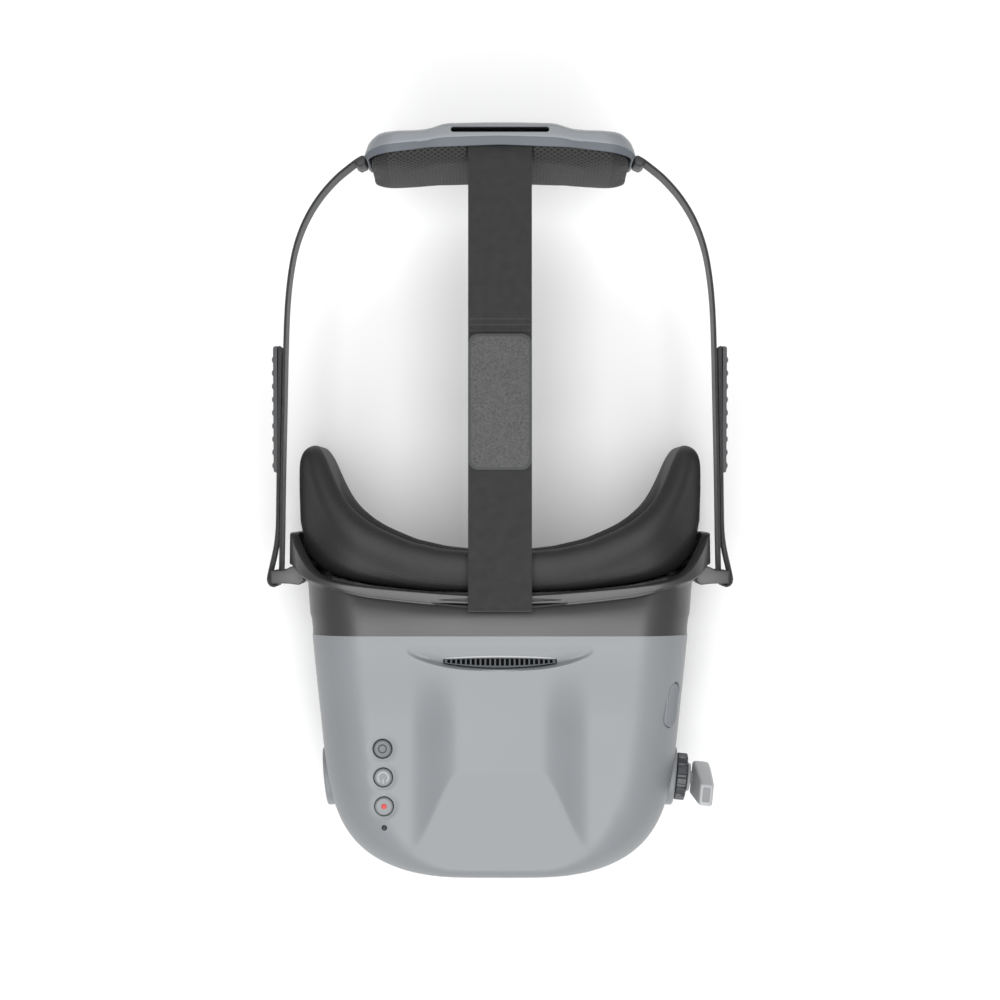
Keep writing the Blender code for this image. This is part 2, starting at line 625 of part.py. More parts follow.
def build_inside():
    """Lens, shroud, display and boards between the face opening and the front wall."""
    bm = bmesh.new()
    spec = ((64, 18.5, 86.5, 10, -77.4), (64, 18.5, 86.5, 10, -76.2), (52, 26, 79, 12, -74.6),
            (30, 40, 65, 10, -73.4))
    loft(bm, xz_plate(bm, spec), caps=True)
    finish("lens", bm, CLEAR)
    bm = bmesh.new()
    spec = ((76, 14, 92, 12, -80.5), (76, 14, 92, 12, -78.0), (65.5, 16.5, 88.5, 11, -76.0),
            (64.4, 18.1, 86.9, 10.4, -76.0), (64.4, 18.1, 86.9, 10.4, -77.8), (60, 22, 83, 9, -77.8),
            (60, 22, 83, 9, -80.5))
    loft(bm, xz_plate(bm, spec), loop=True)
    finish("lens_frame", bm, BLACK_PLASTIC)
    bm = bmesh.new()
    spec = ((62, 19.5, 85.5, 9, -80.9), (56, 26, 77, 5, -149.6), (54.5, 27.5, 75.5, 4, -149.6),
            (60.5, 21.0, 84.0, 8, -80.9))
    loft(bm, xz_plate(bm, spec), loop=True)
    finish("light_shroud", bm, BLACK_PLASTIC, smooth=False)
    bm = bmesh.new()
    loft(bm, xz_plate(bm, ((54, 25, 80, 2, -150.1), (54, 25, 80, 2, -153.6))), caps=True)
    finish("display_panel", bm, SCREEN, smooth=False)
    bm = bmesh.new()
    loft(bm, xz_plate(bm, ((56, 23, 82, 3, -154.0), (56, 23, 82, 3, -155.4))), caps=True)
    finish("display_bracket", bm, STEEL, smooth=False)
    bm = bmesh.new()
    box(bm, -48, 42, -159.4, -157.8, 26, 78)
    finish("main_board", bm, BOARD_GREEN, smooth=False)
    bm = bmesh.new()
    prism(bm, rounded(14, 14, 1.5, 2), 0, 3.2, Matrix.Translation((-12, -159.7, 52))
          @ Matrix.Rotation(math.radians(90), 4, "X"))
    finish("processor_shield", bm, STEEL, smooth=False)
    bm = bmesh.new()
    box(bm, 62, 67.4, -146, -112, 30, 50)
    finish("receiver_module", bm, STEEL, smooth=False)
    bm = bmesh.new()
    outline = rounded(46, 26, 5, 3)
    rings = []
    for grow, z in ((-1.5, 3.0), (0, 4.0), (0, 14.4), (-1.5, 15.4)):
        rings.append([Vector((x * (1 + grow / 46), -110 + y * (1 + grow / 26), z)) for x, y in outline])
    loft(bm, rings, caps=True)
    finish("battery_pack", bm, CELL_WRAP)


# --- face frame, foam and its carrier --------------------------------------

def rim_front(x):
    """Front line of the flange."""
    return lookup(RIM_FRONT, x)


def rim_rear(x):
    """Rear line of the flange."""
    return lookup(RIM_REAR, x)


def frame_ring(w, z0, z1, r_top, r_low, y_of_x, arch=True):
    """One ring of the frame with its own length line and the nose arch."""
    ring = []
    for x, z in section(w, z0, z1, r_top, r_low):
        ring.append(Vector((x, y_of_x(x), nose(x, z) if arch else z)))
    return ring


def build_frame():
    """Neck and flange in one ring, joined to the top strap bar and the two side lugs."""
    rings = [
        frame_ring(86.6, 0.0, 100.0, 24, 14, lambda x: -61.7, False),
        frame_ring(87.2, 0.1, 100.2, 24, 14, lambda x: -54.5, False),
        frame_ring(89.4, 0.4, 101.2, 25, 15, lambda x: rim_front(x) - 2.6),
        frame_ring(94.6, 0.4, 105.2, 29, 19, lambda x: rim_front(x) - 0.6),
        frame_ring(95.5, 0.4, 106.0, 30, 20, lambda x: rim_front(x) + 0.6),
        frame_ring(95.3, 0.6, 105.7, 30, 20, lambda x: rim_rear(x * 93.6 / 95.3)),
        frame_ring(93.6, 2.6, 100.7, 27, 18, lambda x: rim_rear(x)),
        frame_ring(93.3, 3.0, 100.3, 27, 18, lambda x: min(rim_front(x) + 2.4, rim_rear(x) - 0.6)),
        frame_ring(86.0, 9.0, 97.6, 20, 14, lambda x: rim_front(x) + 0.4),
        frame_ring(84.6, 2.6, 97.5, 22, 12, lambda x: -54.5, False),
        frame_ring(81.8, 4.2, 89.2, 17, 10, lambda x: -72.0, False),
        frame_ring(83.3, 2.5, 90.8, 19.5, 12, lambda x: -72.0, False),
        frame_ring(84.3, 2.5, 97.4, 21.5, 11.7, lambda x: -61.7, False),
    ]
    bm = bmesh.new()
    loft(bm, rings, loop=True)
    frame = finish("face_frame", bm, FRAME_GREY)
    bm = bmesh.new()
    outline = [(BAR_HALF_W, -46.6), (-BAR_HALF_W, -46.6)]
    for k in range(13):
        x = -BAR_HALF_W + 2 * BAR_HALF_W * k / 12
        outline.append((x, -47.4 - 3.6 * (1 - (x / BAR_HALF_W) ** 2)))
    prism(bm, outline[::-1], 99.0, 106.3)
    shape(frame, "strap_bar", bm, "UNION")
    bm = bmesh.new()
    for side in (-1, 1):
        a = sorted((side * 93.0, side * 106.0))
        box(bm, a[0], a[1], -38.2, -31.0, *LUG_Z)
    shape(frame, "strap_lugs", bm, "UNION")
    bm = bmesh.new()
    prism(bm, rounded(28.5, 1.3, 1.2, 3), 101.3, 112, Matrix.Translation((0, -45.6, 0)))
    for side in (-1, 1):
        a = sorted((side * 99.0, side * 103.4))
        box(bm, a[0], a[1], -45, -25, 59.0, 80.0)
    shape(frame, "strap_slots", bm)
    bm = bmesh.new()
    box(bm, -15.6, 15.6, -56, -46.0, 101.3, 103.6)
    shape(frame, "bar_tunnel", bm)
    bm = bmesh.new()
    for x in (-58, -20, 20, 58):
        rod(bm, (x, -68, 2), (0, 0, 1), 1.5, 8, 12)
    shape(frame, "frame_screw_holes", bm)
    for k, x in enumerate((-58, -20, 20, 58)):
        bm = bmesh.new()
        turned(bm, ((2.2, 0.4), (2.2, 1.3), (1.2, 2.2), (1.2, 7.5)), Matrix.Translation((x, -68, 0)), 12)
        finish("frame_screw_%d" % (k + 1), bm, STEEL)


def build_face_pad():
    """Foam ring that meets the face, on the thin carrier that clips it into the frame."""
    def crest(x, outer, ridge):
        return lookup(FACE_LINE, x * ridge / outer)

    def seat(x):
        return min(rim_front(x) + 5.0, rim_rear(x) + 1.5)

    rings = [
        frame_ring(92.9, 3.4, 99.9, 26, 17, seat),
        frame_ring(93.1, 3.2, 100.2, 26.5, 17.5, lambda x: max(rim_rear(x), crest(x, 93.1, 84.7) - 16)),
        frame_ring(93.0, 3.2, 103.0, 28, 18, lambda x: max(rim_rear(x) + 2.5, crest(x, 93.0, 84.7) - 11)),
        frame_ring(91.6, 4.4, 103.6, 28, 18, lambda x: crest(x, 91.6, 84.7) - 4),
        frame_ring(88.5, 7.0, 101.5, 27, 18, lambda x: crest(x, 88.5, 84.7) - 1),
        frame_ring(84.7, 10.5, 98.0, 25, 17, lambda x: lookup(FACE_LINE, x)),
        frame_ring(80.5, 14.5, 93.5, 23, 16, lambda x: lookup(FACE_LINE, x) - 1.2),
        frame_ring(76.5, 18.5, 90.0, 21, 15, lambda x: lookup(FACE_LINE, x) - 5.5),
        frame_ring(75.0, 20.0, 88.5, 20, 14, lambda x: (lookup(FACE_LINE, x) + seat(x)) / 2),
        frame_ring(76.0, 19.0, 89.5, 20, 14, seat),
    ]
    bm = bmesh.new()
    loft(bm, rings, loop=True)
    finish("face_foam", bm, SOFT_BLACK)
    rings = []
    for w, inset, gap in ((92.4, 0.0, 3.2), (92.4, 0.0, 4.6), (80.0, 12.0, 4.6), (80.0, 12.0, 3.2)):
        def line(x, gap=gap):
            return min(rim_front(x) + gap, rim_rear(x) + gap - 3.5)
        rings.append(frame_ring(w, 4.0 + inset, 99.2 - inset * 0.7, 26 - inset / 2, 17 - inset / 2, line))
    bm = bmesh.new()
    loft(bm, rings, loop=True)
    finish("foam_carrier", bm, BLACK_PLASTIC)


# --- straps ----------------------------------------------------------------

def build_top_strap():
    """Top strap: from the cradle, round the bar on the frame and back over itself."""
    path = [(162.5, 89.0), (162.5, 98.0), (162.3, 104.2), (161.2, 106.4), (158.8, 107.3), (120, 107.3), (60, 107.3),
            (0, 107.3), (-41.5, 107.3), (-44.3, 107.0), (-45.4, 106.0), (-45.65, 104.4), (-45.75, 103.3),
            (-46.5, 102.55), (-47.8, 102.45), (-51.3, 102.45), (-52.6, 103.1), (-53.1, 104.5), (-52.9, 106.5),
            (-51.8, 108.1), (-49.8, 108.8), (-46, 108.8), (0, 108.8), (74.5, 108.8)]
    bm = bmesh.new()
    half = TOP_STRAP_W / 2
    strap(bm, path, lambda y, z, x: Vector((x, y, z)), lambda y, z: (-half, half))
    finish("top_strap", bm, WEBBING, smooth=False)
    bm = bmesh.new()
    outline = [(x, 44.3 + y) for x, y in rounded(14.6, 30.7, 4.0)]
    rings = []
    for grow, z in ((0.0, 109.7), (0.0, 110.2), (-0.5, 110.5)):
        rings.append([Vector((x * (1 + grow / 14.6), y, z)) for x, y in outline])
    loft(bm, rings, caps=True)
    finish("top_strap_tab", bm, TAB_GREY)


def strap_z(y):
    """Lower edge of a side strap at a given length."""
    return SIDE_STRAP_Z + SIDE_STRAP_RISE * step(-30, 150, y)


def build_side_straps():
    """Side straps: from the cradle clip, through the lug, round its bar and back on the outside."""
    path = [(67.4, 155.4), (70.6, 152.9), (75.8, 148.7), (83.3, 140.3), (89.6, 130.2), (94.0, 119.2), (96.5, 108.1),
            (98.3, 93.7), (99.2, 77), (100.0, 45), (100.9, 10), (101.3, -14), (101.6, -30), (101.9, -37.0),
            (102.7, -39.1), (104.6, -40.0), (106.5, -39.3), (107.35, -37.3), (107.35, -30), (106.6, -24),
            (104.6, -8), (103.1, 6), (102.4, 30), (101.6, 71)]
    for side, label in ((-1, "left"), (1, "right")):
        bm = bmesh.new()
        strap(bm, path, lambda x, y, z, s=side: Vector((s * x, y, z)),
              lambda x, y: (strap_z(y), strap_z(y) + SIDE_STRAP_W))
        finish("side_strap_" + label, bm, WEBBING, smooth=False)
        bm = bmesh.new()
        rows = 12
        outer = []
        for k in range(rows):
            y = 13.2 + 57.2 * k / (rows - 1)
            outer.append((105.3 if k % 2 else 104.6, y))
        outline = [(103.95, 12.6), (104.2, 12.6)] + outer + [(103.8, 71.0), (102.6, 71.0)]
        rings = []
        for inset in (0.0, 1.0):
            rings.append([Vector((side * x, y, strap_z(y) + (0.4 if inset == 0 else 19.6))) for x, y in outline])
        loft(bm, rings, caps=True)
        finish("side_tab_" + label, bm, TAB_GREY, smooth=False)


# --- rear cradle -----------------------------------------------------------

def cradle_front(x, z):
    """Front rim of the cradle shell, leaning forward towards the bottom."""
    return lookup(CRADLE_FRONT, x) - CRADLE_LEAN * (CRADLE_Z[1] - z) / (CRADLE_Z[1] - CRADLE_Z[0])


def cradle_back(x, z):
    """Rear face of the cradle shell."""
    k = (z - CRADLE_Z[0]) / (CRADLE_Z[1] - CRADLE_Z[0])
    return lookup(CRADLE_BACK, x) + CRADLE_BULGE * math.sin(math.pi * min(1, max(0, k))) - 2.5 * (1 - k)


def cradle_ring(w, inset, y_of, radius=None):
    """Ring round the cradle at a given half-width and top and bottom inset."""
    z0 = CRADLE_Z[0] + inset
    z1 = CRADLE_Z[1] - inset
    r = max(1.5, 14 - inset * 0.5) if radius is None else radius
    r = min(r, (z1 - z0) / 2 - 0.3)
    return [Vector((x, y_of(x, z), z)) for x, z in section(w, z0, z1, r, r, 6, 3, 3)]


def build_cradle():
    """Hollow shell, inner plate, cushion, strap clamp, clips and screws."""
    def between(t, less=0.0):
        def line(x, z):
            front = cradle_front(x, z)
            return front + t * (cradle_back(x, z) - front) - less
        return line

    rings = [
        cradle_ring(30, 26, between(1.0, 2.2)),
        cradle_ring(46, 15, between(1.0, 2.2)),
        cradle_ring(53, 7.5, between(1.0, 2.4)),
        cradle_ring(57.0, 3.4, between(0.9, 2.0)),
        cradle_ring(59.2, 2.3, between(0.5, 0.6)),
        cradle_ring(60.0, 2.0, between(0.0)),
        cradle_ring(61.8, 0.2, between(0.0)),
        cradle_ring(61.9, 0.0, between(0.35)),
        cradle_ring(60.6, 0.2, between(0.85)),
        cradle_ring(57.5, 2.0, between(1.0)),
        cradle_ring(48, 9, between(1.0)),
        cradle_ring(36, 20, between(1.0)),
        cradle_ring(28, 26, between(1.0)),
    ]
    bm = bmesh.new()
    loft(bm, rings, zips=True)
    shell = finish("cradle_shell", bm, CRADLE_GREY)
    bm = bmesh.new()
    for side in (-1, 1):
        rod(bm, (side * 42, 164.7, 77), (0, 1, 0), 3.2, 8.2, 16)
    shape(shell, "shell_posts", bm, "UNION")
    bm = bmesh.new()
    prism(bm, rounded(22.3, 1.1, 1.0, 3), 100, 112, Matrix.Translation((0, 167.6, 0)))
    box(bm, -16.7, 16.7, 155, 164.0, 100, 112)
    for side in (-1, 1):
        rod(bm, (side * 42, 159.4, 77), (0, 1, 0), 1.5, 9, 12)
    shape(shell, "shell_slots", bm)

    rings = []
    for w, inset, shift in ((54.5, 4.6, 4.5), (54.5, 4.5, 2.5)):
        rings.append(cradle_ring(w, inset, lambda x, z, s=shift: cradle_front(x, z) + s))
    bm = bmesh.new()
    loft(bm, rings, zips=True)
    plate = finish("cradle_plate", bm, BLACK_PLASTIC)
    bm = bmesh.new()
    box(bm, -16.0, 16.0, 150, 172, 87, 112)
    for side in (-1, 1):
        rod(bm, (side * 42, 158, 77), (0, 1, 0), 1.5, 12, 12)
    shape(plate, "plate_cuts", bm)

    rings = []
    for w, inset, shift in ((58.6, 3.4, 1.9), (59.5, 2.5, 0.6), (58.0, 3.4, -2.2), (54.0, 8.0, -4.6),
                            (44.0, 16.0, -5.6), (30.0, 25.0, -5.9)):
        rings.append(cradle_ring(w, inset, lambda x, z, s=shift: cradle_front(x, z) + s))
    bm = bmesh.new()
    loft(bm, rings, zips=True)
    cushion = finish("cradle_cushion", bm, SOFT_BLACK)
    bm = bmesh.new()
    box(bm, -16.0, 16.0, 160.9, 172, 87, 112)
    for side in (-1, 1):
        rod(bm, (side * 42, 156.3, 77), (0, 1, 0), 2.9, 3.4, 14)
    shape(cushion, "cushion_cuts", bm)

    for side, label in ((-1, "left"), (1, "right")):
        bm = bmesh.new()
        aim = Matrix.Translation((side * 42, 154.9, 77)) @ Matrix.Rotation(math.radians(-90), 4, "X")
        turned(bm, ((2.4, 0.3), (2.4, 1.6), (1.1, 1.9), (1.1, 8.4)), aim, 12)
        finish("cradle_screw_" + label, bm, STEEL)
        bm = bmesh.new()
        z0 = strap_z(156) - 2.0
        outline = [(62.3, 152.0), (66.4, 150.2), (69.6, 153.2), (67.2, 157.6), (62.5, 157.9)]
        rings = [[Vector((side * x, y, z)) for x, y in outline] for z in (z0, z0 + SIDE_STRAP_W + 4.0)]
        loft(bm, rings, caps=True)
        clip = finish("strap_clip_" + label, bm, BLACK_PLASTIC, smooth=False)
        bm = bmesh.new()
        run = Vector((75.8 - 67.4, 148.7 - 155.4)).normalized()
        off = Vector((-run.y, run.x)) * 0.95
        a = Vector((67.4, 155.4)) - run * 0.5
        b = a + run * 9
        corners = (a + off, b + off, b - off, a - off)
        rings = [[Vector((side * p.x, p.y, z)) for p in corners] for z in (strap_z(156) - 0.4, strap_z(156) + 20.4)]
        loft(bm, rings, caps=True)
        shape(clip, "clip_slot_" + label, bm)
    bm = bmesh.new()
    box(bm, -15.0, 15.0, 163.5, 165.6, 88.0, 97.0)
    finish("strap_clamp", bm, BLACK_PLASTIC, smooth=False)


build_housing()
build_grille()
build_controls()
build_ports()
build_antenna()
build_inside()
build_frame()
build_face_pad()
build_top_strap()
build_side_straps()
build_cradle()
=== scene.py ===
import math

import bmesh
import bpy
from mathutils import Matrix, Vector


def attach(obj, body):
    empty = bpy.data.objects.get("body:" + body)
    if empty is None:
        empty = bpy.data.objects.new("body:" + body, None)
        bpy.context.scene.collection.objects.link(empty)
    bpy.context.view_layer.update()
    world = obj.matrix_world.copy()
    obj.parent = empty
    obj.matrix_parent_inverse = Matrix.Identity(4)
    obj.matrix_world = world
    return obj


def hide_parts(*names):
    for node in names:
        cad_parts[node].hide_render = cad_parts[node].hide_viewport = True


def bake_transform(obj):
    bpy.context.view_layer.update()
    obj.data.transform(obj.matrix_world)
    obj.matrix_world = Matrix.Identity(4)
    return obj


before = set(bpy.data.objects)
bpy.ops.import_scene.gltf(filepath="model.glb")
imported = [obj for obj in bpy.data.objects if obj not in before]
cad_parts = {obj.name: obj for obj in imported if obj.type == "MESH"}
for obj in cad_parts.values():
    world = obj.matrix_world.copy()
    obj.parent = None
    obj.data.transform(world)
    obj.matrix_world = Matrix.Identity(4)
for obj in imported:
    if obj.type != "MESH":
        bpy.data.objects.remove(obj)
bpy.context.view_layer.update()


# The table, the lamps and the camera. The goggles lie on a white table and are seen from straight
# above, with the front towards the lower edge. Large soft lamps stand ahead, behind and overhead.
table_mesh = bmesh.new()
bmesh.ops.create_grid(table_mesh, x_segments=1, y_segments=1, size=6.0)
table_data = bpy.data.meshes.new("table")
table_mesh.to_mesh(table_data)
table_mesh.free()
table = bpy.data.objects.new("table", table_data)
bpy.context.scene.collection.objects.link(table)
table_paint = bpy.data.materials.new("white table")
table_paint.use_nodes = True
table_paint.node_tree.nodes["Principled BSDF"].inputs["Base Color"].default_value = (0.93, 0.93, 0.93, 1.0)
table_paint.node_tree.nodes["Principled BSDF"].inputs["Roughness"].default_value = 0.7
table_data.materials.append(table_paint)


def lamp(name, place, target, width, height, power):
    """A soft rectangular lamp that looks at a point."""
    data = bpy.data.lights.new(name, "AREA")
    data.shape = "RECTANGLE"
    data.size = width
    data.size_y = height
    data.energy = power
    made = bpy.data.objects.new(name, data)
    made.location = place
    made.rotation_euler = (Vector(target) - Vector(place)).to_track_quat("-Z", "Y").to_euler()
    bpy.context.scene.collection.objects.link(made)
    return made


front_lamp = lamp("front lamp", (0.0, -1.2, 1.2), (0.0, 0.0, 0.05), 1.1, 0.7, 11.0)
top_lamp = lamp("top lamp", (0.0, -0.2, 1.9), (0.0, 0.0, 0.0), 1.2, 1.4, 26.0)
rear_lamp = lamp("rear lamp", (0.0, 1.3, 1.3), (0.0, 0.1, 0.05), 1.0, 0.6, 6.0)
room = bpy.data.worlds.new("white room")
room.use_nodes = True
room.node_tree.nodes["Background"].inputs["Color"].default_value = (1.0, 1.0, 1.0, 1.0)
room.node_tree.nodes["Background"].inputs["Strength"].default_value = 0.4
bpy.context.scene.world = room
camera_data = bpy.data.cameras.new("camera")
camera_data.sensor_width = 36.0
camera_data.lens = 95.04
camera_data.clip_end = 20.0
camera = bpy.data.objects.new("camera", camera_data)
camera.location = (0.0, 0.0, 1.3)
bpy.context.scene.collection.objects.link(camera)
bpy.context.scene.camera = camera
bpy.context.scene.view_settings.view_transform = "Standard"


# The main housing: one light-grey satin shell, moulded in a fine spark texture, 2 mm thick and open
# at the rear. Its top has a raised centre, two lower lobes and a facet that slopes to the front.
MM = 0.001


def linear(value):
    """An sRGB level from 0 to 255 as the linear number that a shader takes."""
    v = value / 255.0
    return v / 12.92 if v <= 0.04045 else ((v + 0.055) / 1.055) ** 2.4


def tone(red, green, blue):
    """A colour from sRGB levels."""
    return (linear(red), linear(green), linear(blue), 1.0)


def darker(colour, share):
    """A colour with its three levels cut to a share."""
    return (colour[0] * share, colour[1] * share, colour[2] * share, 1.0)


def feed(tree, node, entries):
    """Fills a node's inputs: another node's output is joined to the input, anything else becomes its value."""
    for entry, value in entries.items():
        if isinstance(value, bpy.types.NodeSocket):
            tree.links.new(value, node.inputs[entry])
        else:
            node.inputs[entry].default_value = value


def add(tree, kind, entries, **settings):
    """The outputs of a new shader node with its settings made and its inputs filled."""
    node = tree.nodes.new("ShaderNode" + kind)
    for setting, value in settings.items():
        setattr(node, setting, value)
    feed(tree, node, entries)
    return node.outputs


def maths(tree, operation, *values):
    """The result of one sum on numbers and outputs."""
    return add(tree, "Math", dict(enumerate(values)), operation=operation)[0]


def blended(tree, share, first, second):
    """A colour between two others."""
    return add(tree, "Mix", {0: share, 6: first, 7: second}, data_type="RGBA")[2]


def noise(tree, place, scale, detail):
    """Soft clouds at a place."""
    return add(tree, "TexNoise", {"Vector": place, "Scale": scale, "Detail": detail})["Fac"]


def bumped(tree, height, strength, distance, **settings):
    """The normal of a surface raised by a height."""
    entries = {"Height": height, "Strength": strength, "Distance": distance}
    return add(tree, "Bump", entries, **settings)["Normal"]


def object_place(tree):
    """The place on the piece itself."""
    return add(tree, "TexCoord", {})["Object"]


def new_group(name, entries, results):
    """A shader group with its inputs and their values, and its outputs and their kinds."""
    group = bpy.data.node_groups.new(name, "ShaderNodeTree")
    for entry, value in entries.items():
        socket = group.interface.new_socket(name=entry, in_out="INPUT", socket_type="NodeSocketFloat")
        socket.default_value = value
    for result, kind in results.items():
        group.interface.new_socket(name=result, in_out="OUTPUT", socket_type=kind)
    return group, group.nodes.new("NodeGroupInput").outputs, group.nodes.new("NodeGroupOutput")


def new_finish(name):
    """A material, its node tree and its shader."""
    finish = bpy.data.materials.new(name)
    finish.use_nodes = True
    return finish, finish.node_tree, finish.node_tree.nodes["Principled BSDF"]


VALUE, VECTOR = "NodeSocketFloat", "NodeSocketVector"


def moulded_grain_group():
    """Fine moulded texture: a bump, a soft mottling mask and a roughness that wanders a little."""
    group, entry, leave = new_group("moulded grain", {"Grain Size": 0.0006, "Grain Depth": 0.1, "Roughness": 0.4},
                                    {"Mottle": VALUE, "Roughness": VALUE, "Normal": VECTOR})
    place = object_place(group)
    spark = noise(group, place, maths(group, "DIVIDE", 1.0, entry["Grain Size"]), 3.0)
    cloud = noise(group, place, 28.0, 4.0)
    least = maths(group, "SUBTRACT", entry["Roughness"], 0.06)
    feed(group, leave, {"Mottle": cloud, "Roughness": maths(group, "MULTIPLY_ADD", cloud, 0.12, least),
                        "Normal": bumped(group, spark, entry["Grain Depth"], 0.0002)})
    return group


MOULDED_GRAIN = moulded_grain_group()


def moulded(name, colour, rough, grain, depth, gloss=0.5):
    """Plastic with a fine moulded grain and faint mottling."""
    finish, tree, shader = new_finish(name)
    texture = add(tree, "Group", {"Grain Size": grain, "Grain Depth": depth, "Roughness": rough},
                  node_tree=MOULDED_GRAIN)
    feed(tree, shader, {"Base Color": blended(tree, texture["Mottle"], darker(colour, 0.93), colour),
                        "Specular IOR Level": gloss, "Roughness": texture["Roughness"],
                        "Normal": texture["Normal"]})
    return finish


HOUSING_PAINT = moulded("housing satin grey", tone(129, 132, 135), 0.42, 0.0004, 0.12)
REAR_Y = -62.0
TAPER_Y = -61.5
HOUSING_LENGTH = 112.1
HOUSING_HALF_W = 86.9
HOUSING_TAPER = 0.09
CORNER_POWER = 3.42
NOSE_POWER = 6.26
HOUSING_H = 100.0
SHOULDER_R = 24.0
FRONT_R = 5.5
FOOT_R = 14.0
LOBE_DROP = 6.2
FACET_Y = -124.0
FACET_SLOPE = 0.17
VENT_Y = -77.3
VENT_HALF_W = 42.0
VENT_ARC = 7.0
VENT_DEPTH = 4.2
VENT_RAMP = 1.4
VENT_END_Y = -64.5
FACET_BLEND = 0.3
BUTTONS = (("menu", -53.7, -113.7), ("power", -53.4, -126.8), ("record", -53.0, -140.0))
LIGHT_PLACE = (-52.9, -149.9)
BOSS_PLACE = (82.2, -130.0, 55.0)
BOSS_R = 13.75
BOSS_TURN = 5.5
SCREW_XS = (20, 58)
SCREW_Y = -68
KEY_PLACE = (Matrix.Translation((78.9, -94.2, 84.9)) @ Matrix.Rotation(math.radians(-5.1), 4, "Z")
             @ Matrix.Rotation(math.radians(52.7), 4, "Y") @ Matrix.Rotation(math.radians(90), 4, "Z"))


def step(a, b, t):
    """A smooth 0-1 step as t goes from a to b."""
    k = min(1.0, max(0.0, (t - a) / (b - a)))
    return k * k * (3.0 - 2.0 * k)


def lookup(points, x):
    """Straight-line look-up in (x, y) pairs, the same on both sides."""
    x = abs(x)
    for (x0, y0), (x1, y1) in zip(points, points[1:]):
        if x <= x1:
            return y0 + (y1 - y0) * (x - x0) / (x1 - x0)
    return points[-1][1]


def bent_grid(bm, across, along, place):
    """A flat grid whose every point moves to place(u, v), with u and v from 0 to 1."""
    for vert in bmesh.ops.create_grid(bm, x_segments=across, y_segments=along, size=0.5)["verts"]:
        vert.co = place(vert.co.x + 0.5, vert.co.y + 0.5)


def spun(bm, profile, place=Matrix(), steps=48, ring=False):
    """A body of revolution about local Z from (radius, height) pairs."""
    before = set(bm.verts)
    chain = [bm.verts.new((radius, 0.0, height)) for radius, height in profile]
    pairs = list(zip(chain, chain[1:])) + ([(chain[-1], chain[0])] if ring else [])
    edges = [bm.edges.new(pair) for pair in pairs]
    bmesh.ops.spin(bm, geom=chain + edges, cent=(0, 0, 0), axis=(0, 0, 1), angle=2 * math.pi,
                   steps=steps, use_merge=True)
    fresh = [vert for vert in bm.verts if vert not in before]
    bmesh.ops.transform(bm, matrix=place, verts=fresh)


def rod(bm, radius, low, high, place=Matrix(), steps=48):
    """A closed round bar along local Z."""
    spun(bm, ((0, low), (radius, low), (radius, high), (0, high)), place, steps)


def bevelled(bm, edges, offset, segments):
    """Rounds edges and gives back the new faces."""
    return bmesh.ops.bevel(bm, geom=edges, offset=offset, offset_type="OFFSET", segments=segments,
                           affect="EDGES", profile=0.5, material=-1)["faces"]


def block(bm, low, high, edge, place=Matrix(), segments=2):
    """A box between two corners with rounded edges."""
    size = Vector(high) - Vector(low)
    centre = (Vector(high) + Vector(low)) / 2
    form = Matrix.Translation(centre) @ Matrix.Diagonal((*size, 1.0))
    verts = bmesh.ops.create_cube(bm, size=1.0, matrix=form)["verts"]
    if edge > 0:
        faces = bevelled(bm, list({e for v in verts for e in v.link_edges}), edge, segments)
        verts = list({v for f in faces for v in f.verts})
    bmesh.ops.transform(bm, matrix=place, verts=verts)


def rounded(half_x, half_y, radius, arc=6):
    """A rounded rectangle outline about the origin."""
    points = []
    for sx, sy, start in ((1, 1, 0), (-1, 1, 90), (-1, -1, 180), (1, -1, 270)):
        for k in range(arc + 1):
            a = math.radians(start + 90 * k / arc)
            points.append((sx * (half_x - radius) + radius * math.cos(a),
                           sy * (half_y - radius) + radius * math.sin(a)))
    return points


def slab(bm, outline, levels, place=Matrix()):
    """A flat body drawn up from an outline: each level is (how far the edge moves in, height)."""
    before = set(bm.verts)
    half_x = max(abs(x) for x, _ in outline)
    half_y = max(abs(y) for _, y in outline)
    inset, height = levels[0]
    ring = [bm.verts.new((x * (1 - inset / half_x), y * (1 - inset / half_y), height)) for x, y in outline]
    top = bm.faces.new(ring)
    for inset_next, height_next in levels[1:]:
        top = bmesh.ops.extrude_discrete_faces(bm, faces=[top])["faces"][0]
        grow_x = (half_x - inset_next) / (half_x - inset)
        grow_y = (half_y - inset_next) / (half_y - inset)
        for vert in top.verts:
            vert.co = (vert.co.x * grow_x, vert.co.y * grow_y, height_next)
        inset = inset_next
    bm.faces.new(ring[::-1])
    fresh = [vert for vert in bm.verts if vert not in before]
    bmesh.ops.transform(bm, matrix=place, verts=fresh)


def close(bm):
    """Fills every open end of a shape."""
    bmesh.ops.holes_fill(bm, edges=[e for e in bm.edges if e.is_boundary], sides=0)


def piece_of(name, bm, finish, crease=32.0):
    """A millimetre bmesh as a piece in metres, smooth but for edges sharper than crease."""
    bmesh.ops.remove_doubles(bm, verts=bm.verts, dist=0.0005)
    bmesh.ops.recalc_face_normals(bm, faces=bm.faces)
    bmesh.ops.scale(bm, vec=(MM, MM, MM), verts=bm.verts)
    mesh = bpy.data.meshes.new(name)
    bm.to_mesh(mesh)
    bm.free()
    if finish is not None:
        mesh.materials.append(finish)
    piece = bpy.data.objects.new(name, mesh)
    bpy.context.scene.collection.objects.link(piece)
    smooth(piece, crease)
    return piece


def smooth(piece, crease=32.0):
    """Smooth shading that keeps the edges sharper than crease."""
    piece.data.polygons.foreach_set("use_smooth", [True] * len(piece.data.polygons))
    piece.data.set_sharp_from_angle(angle=math.radians(crease))


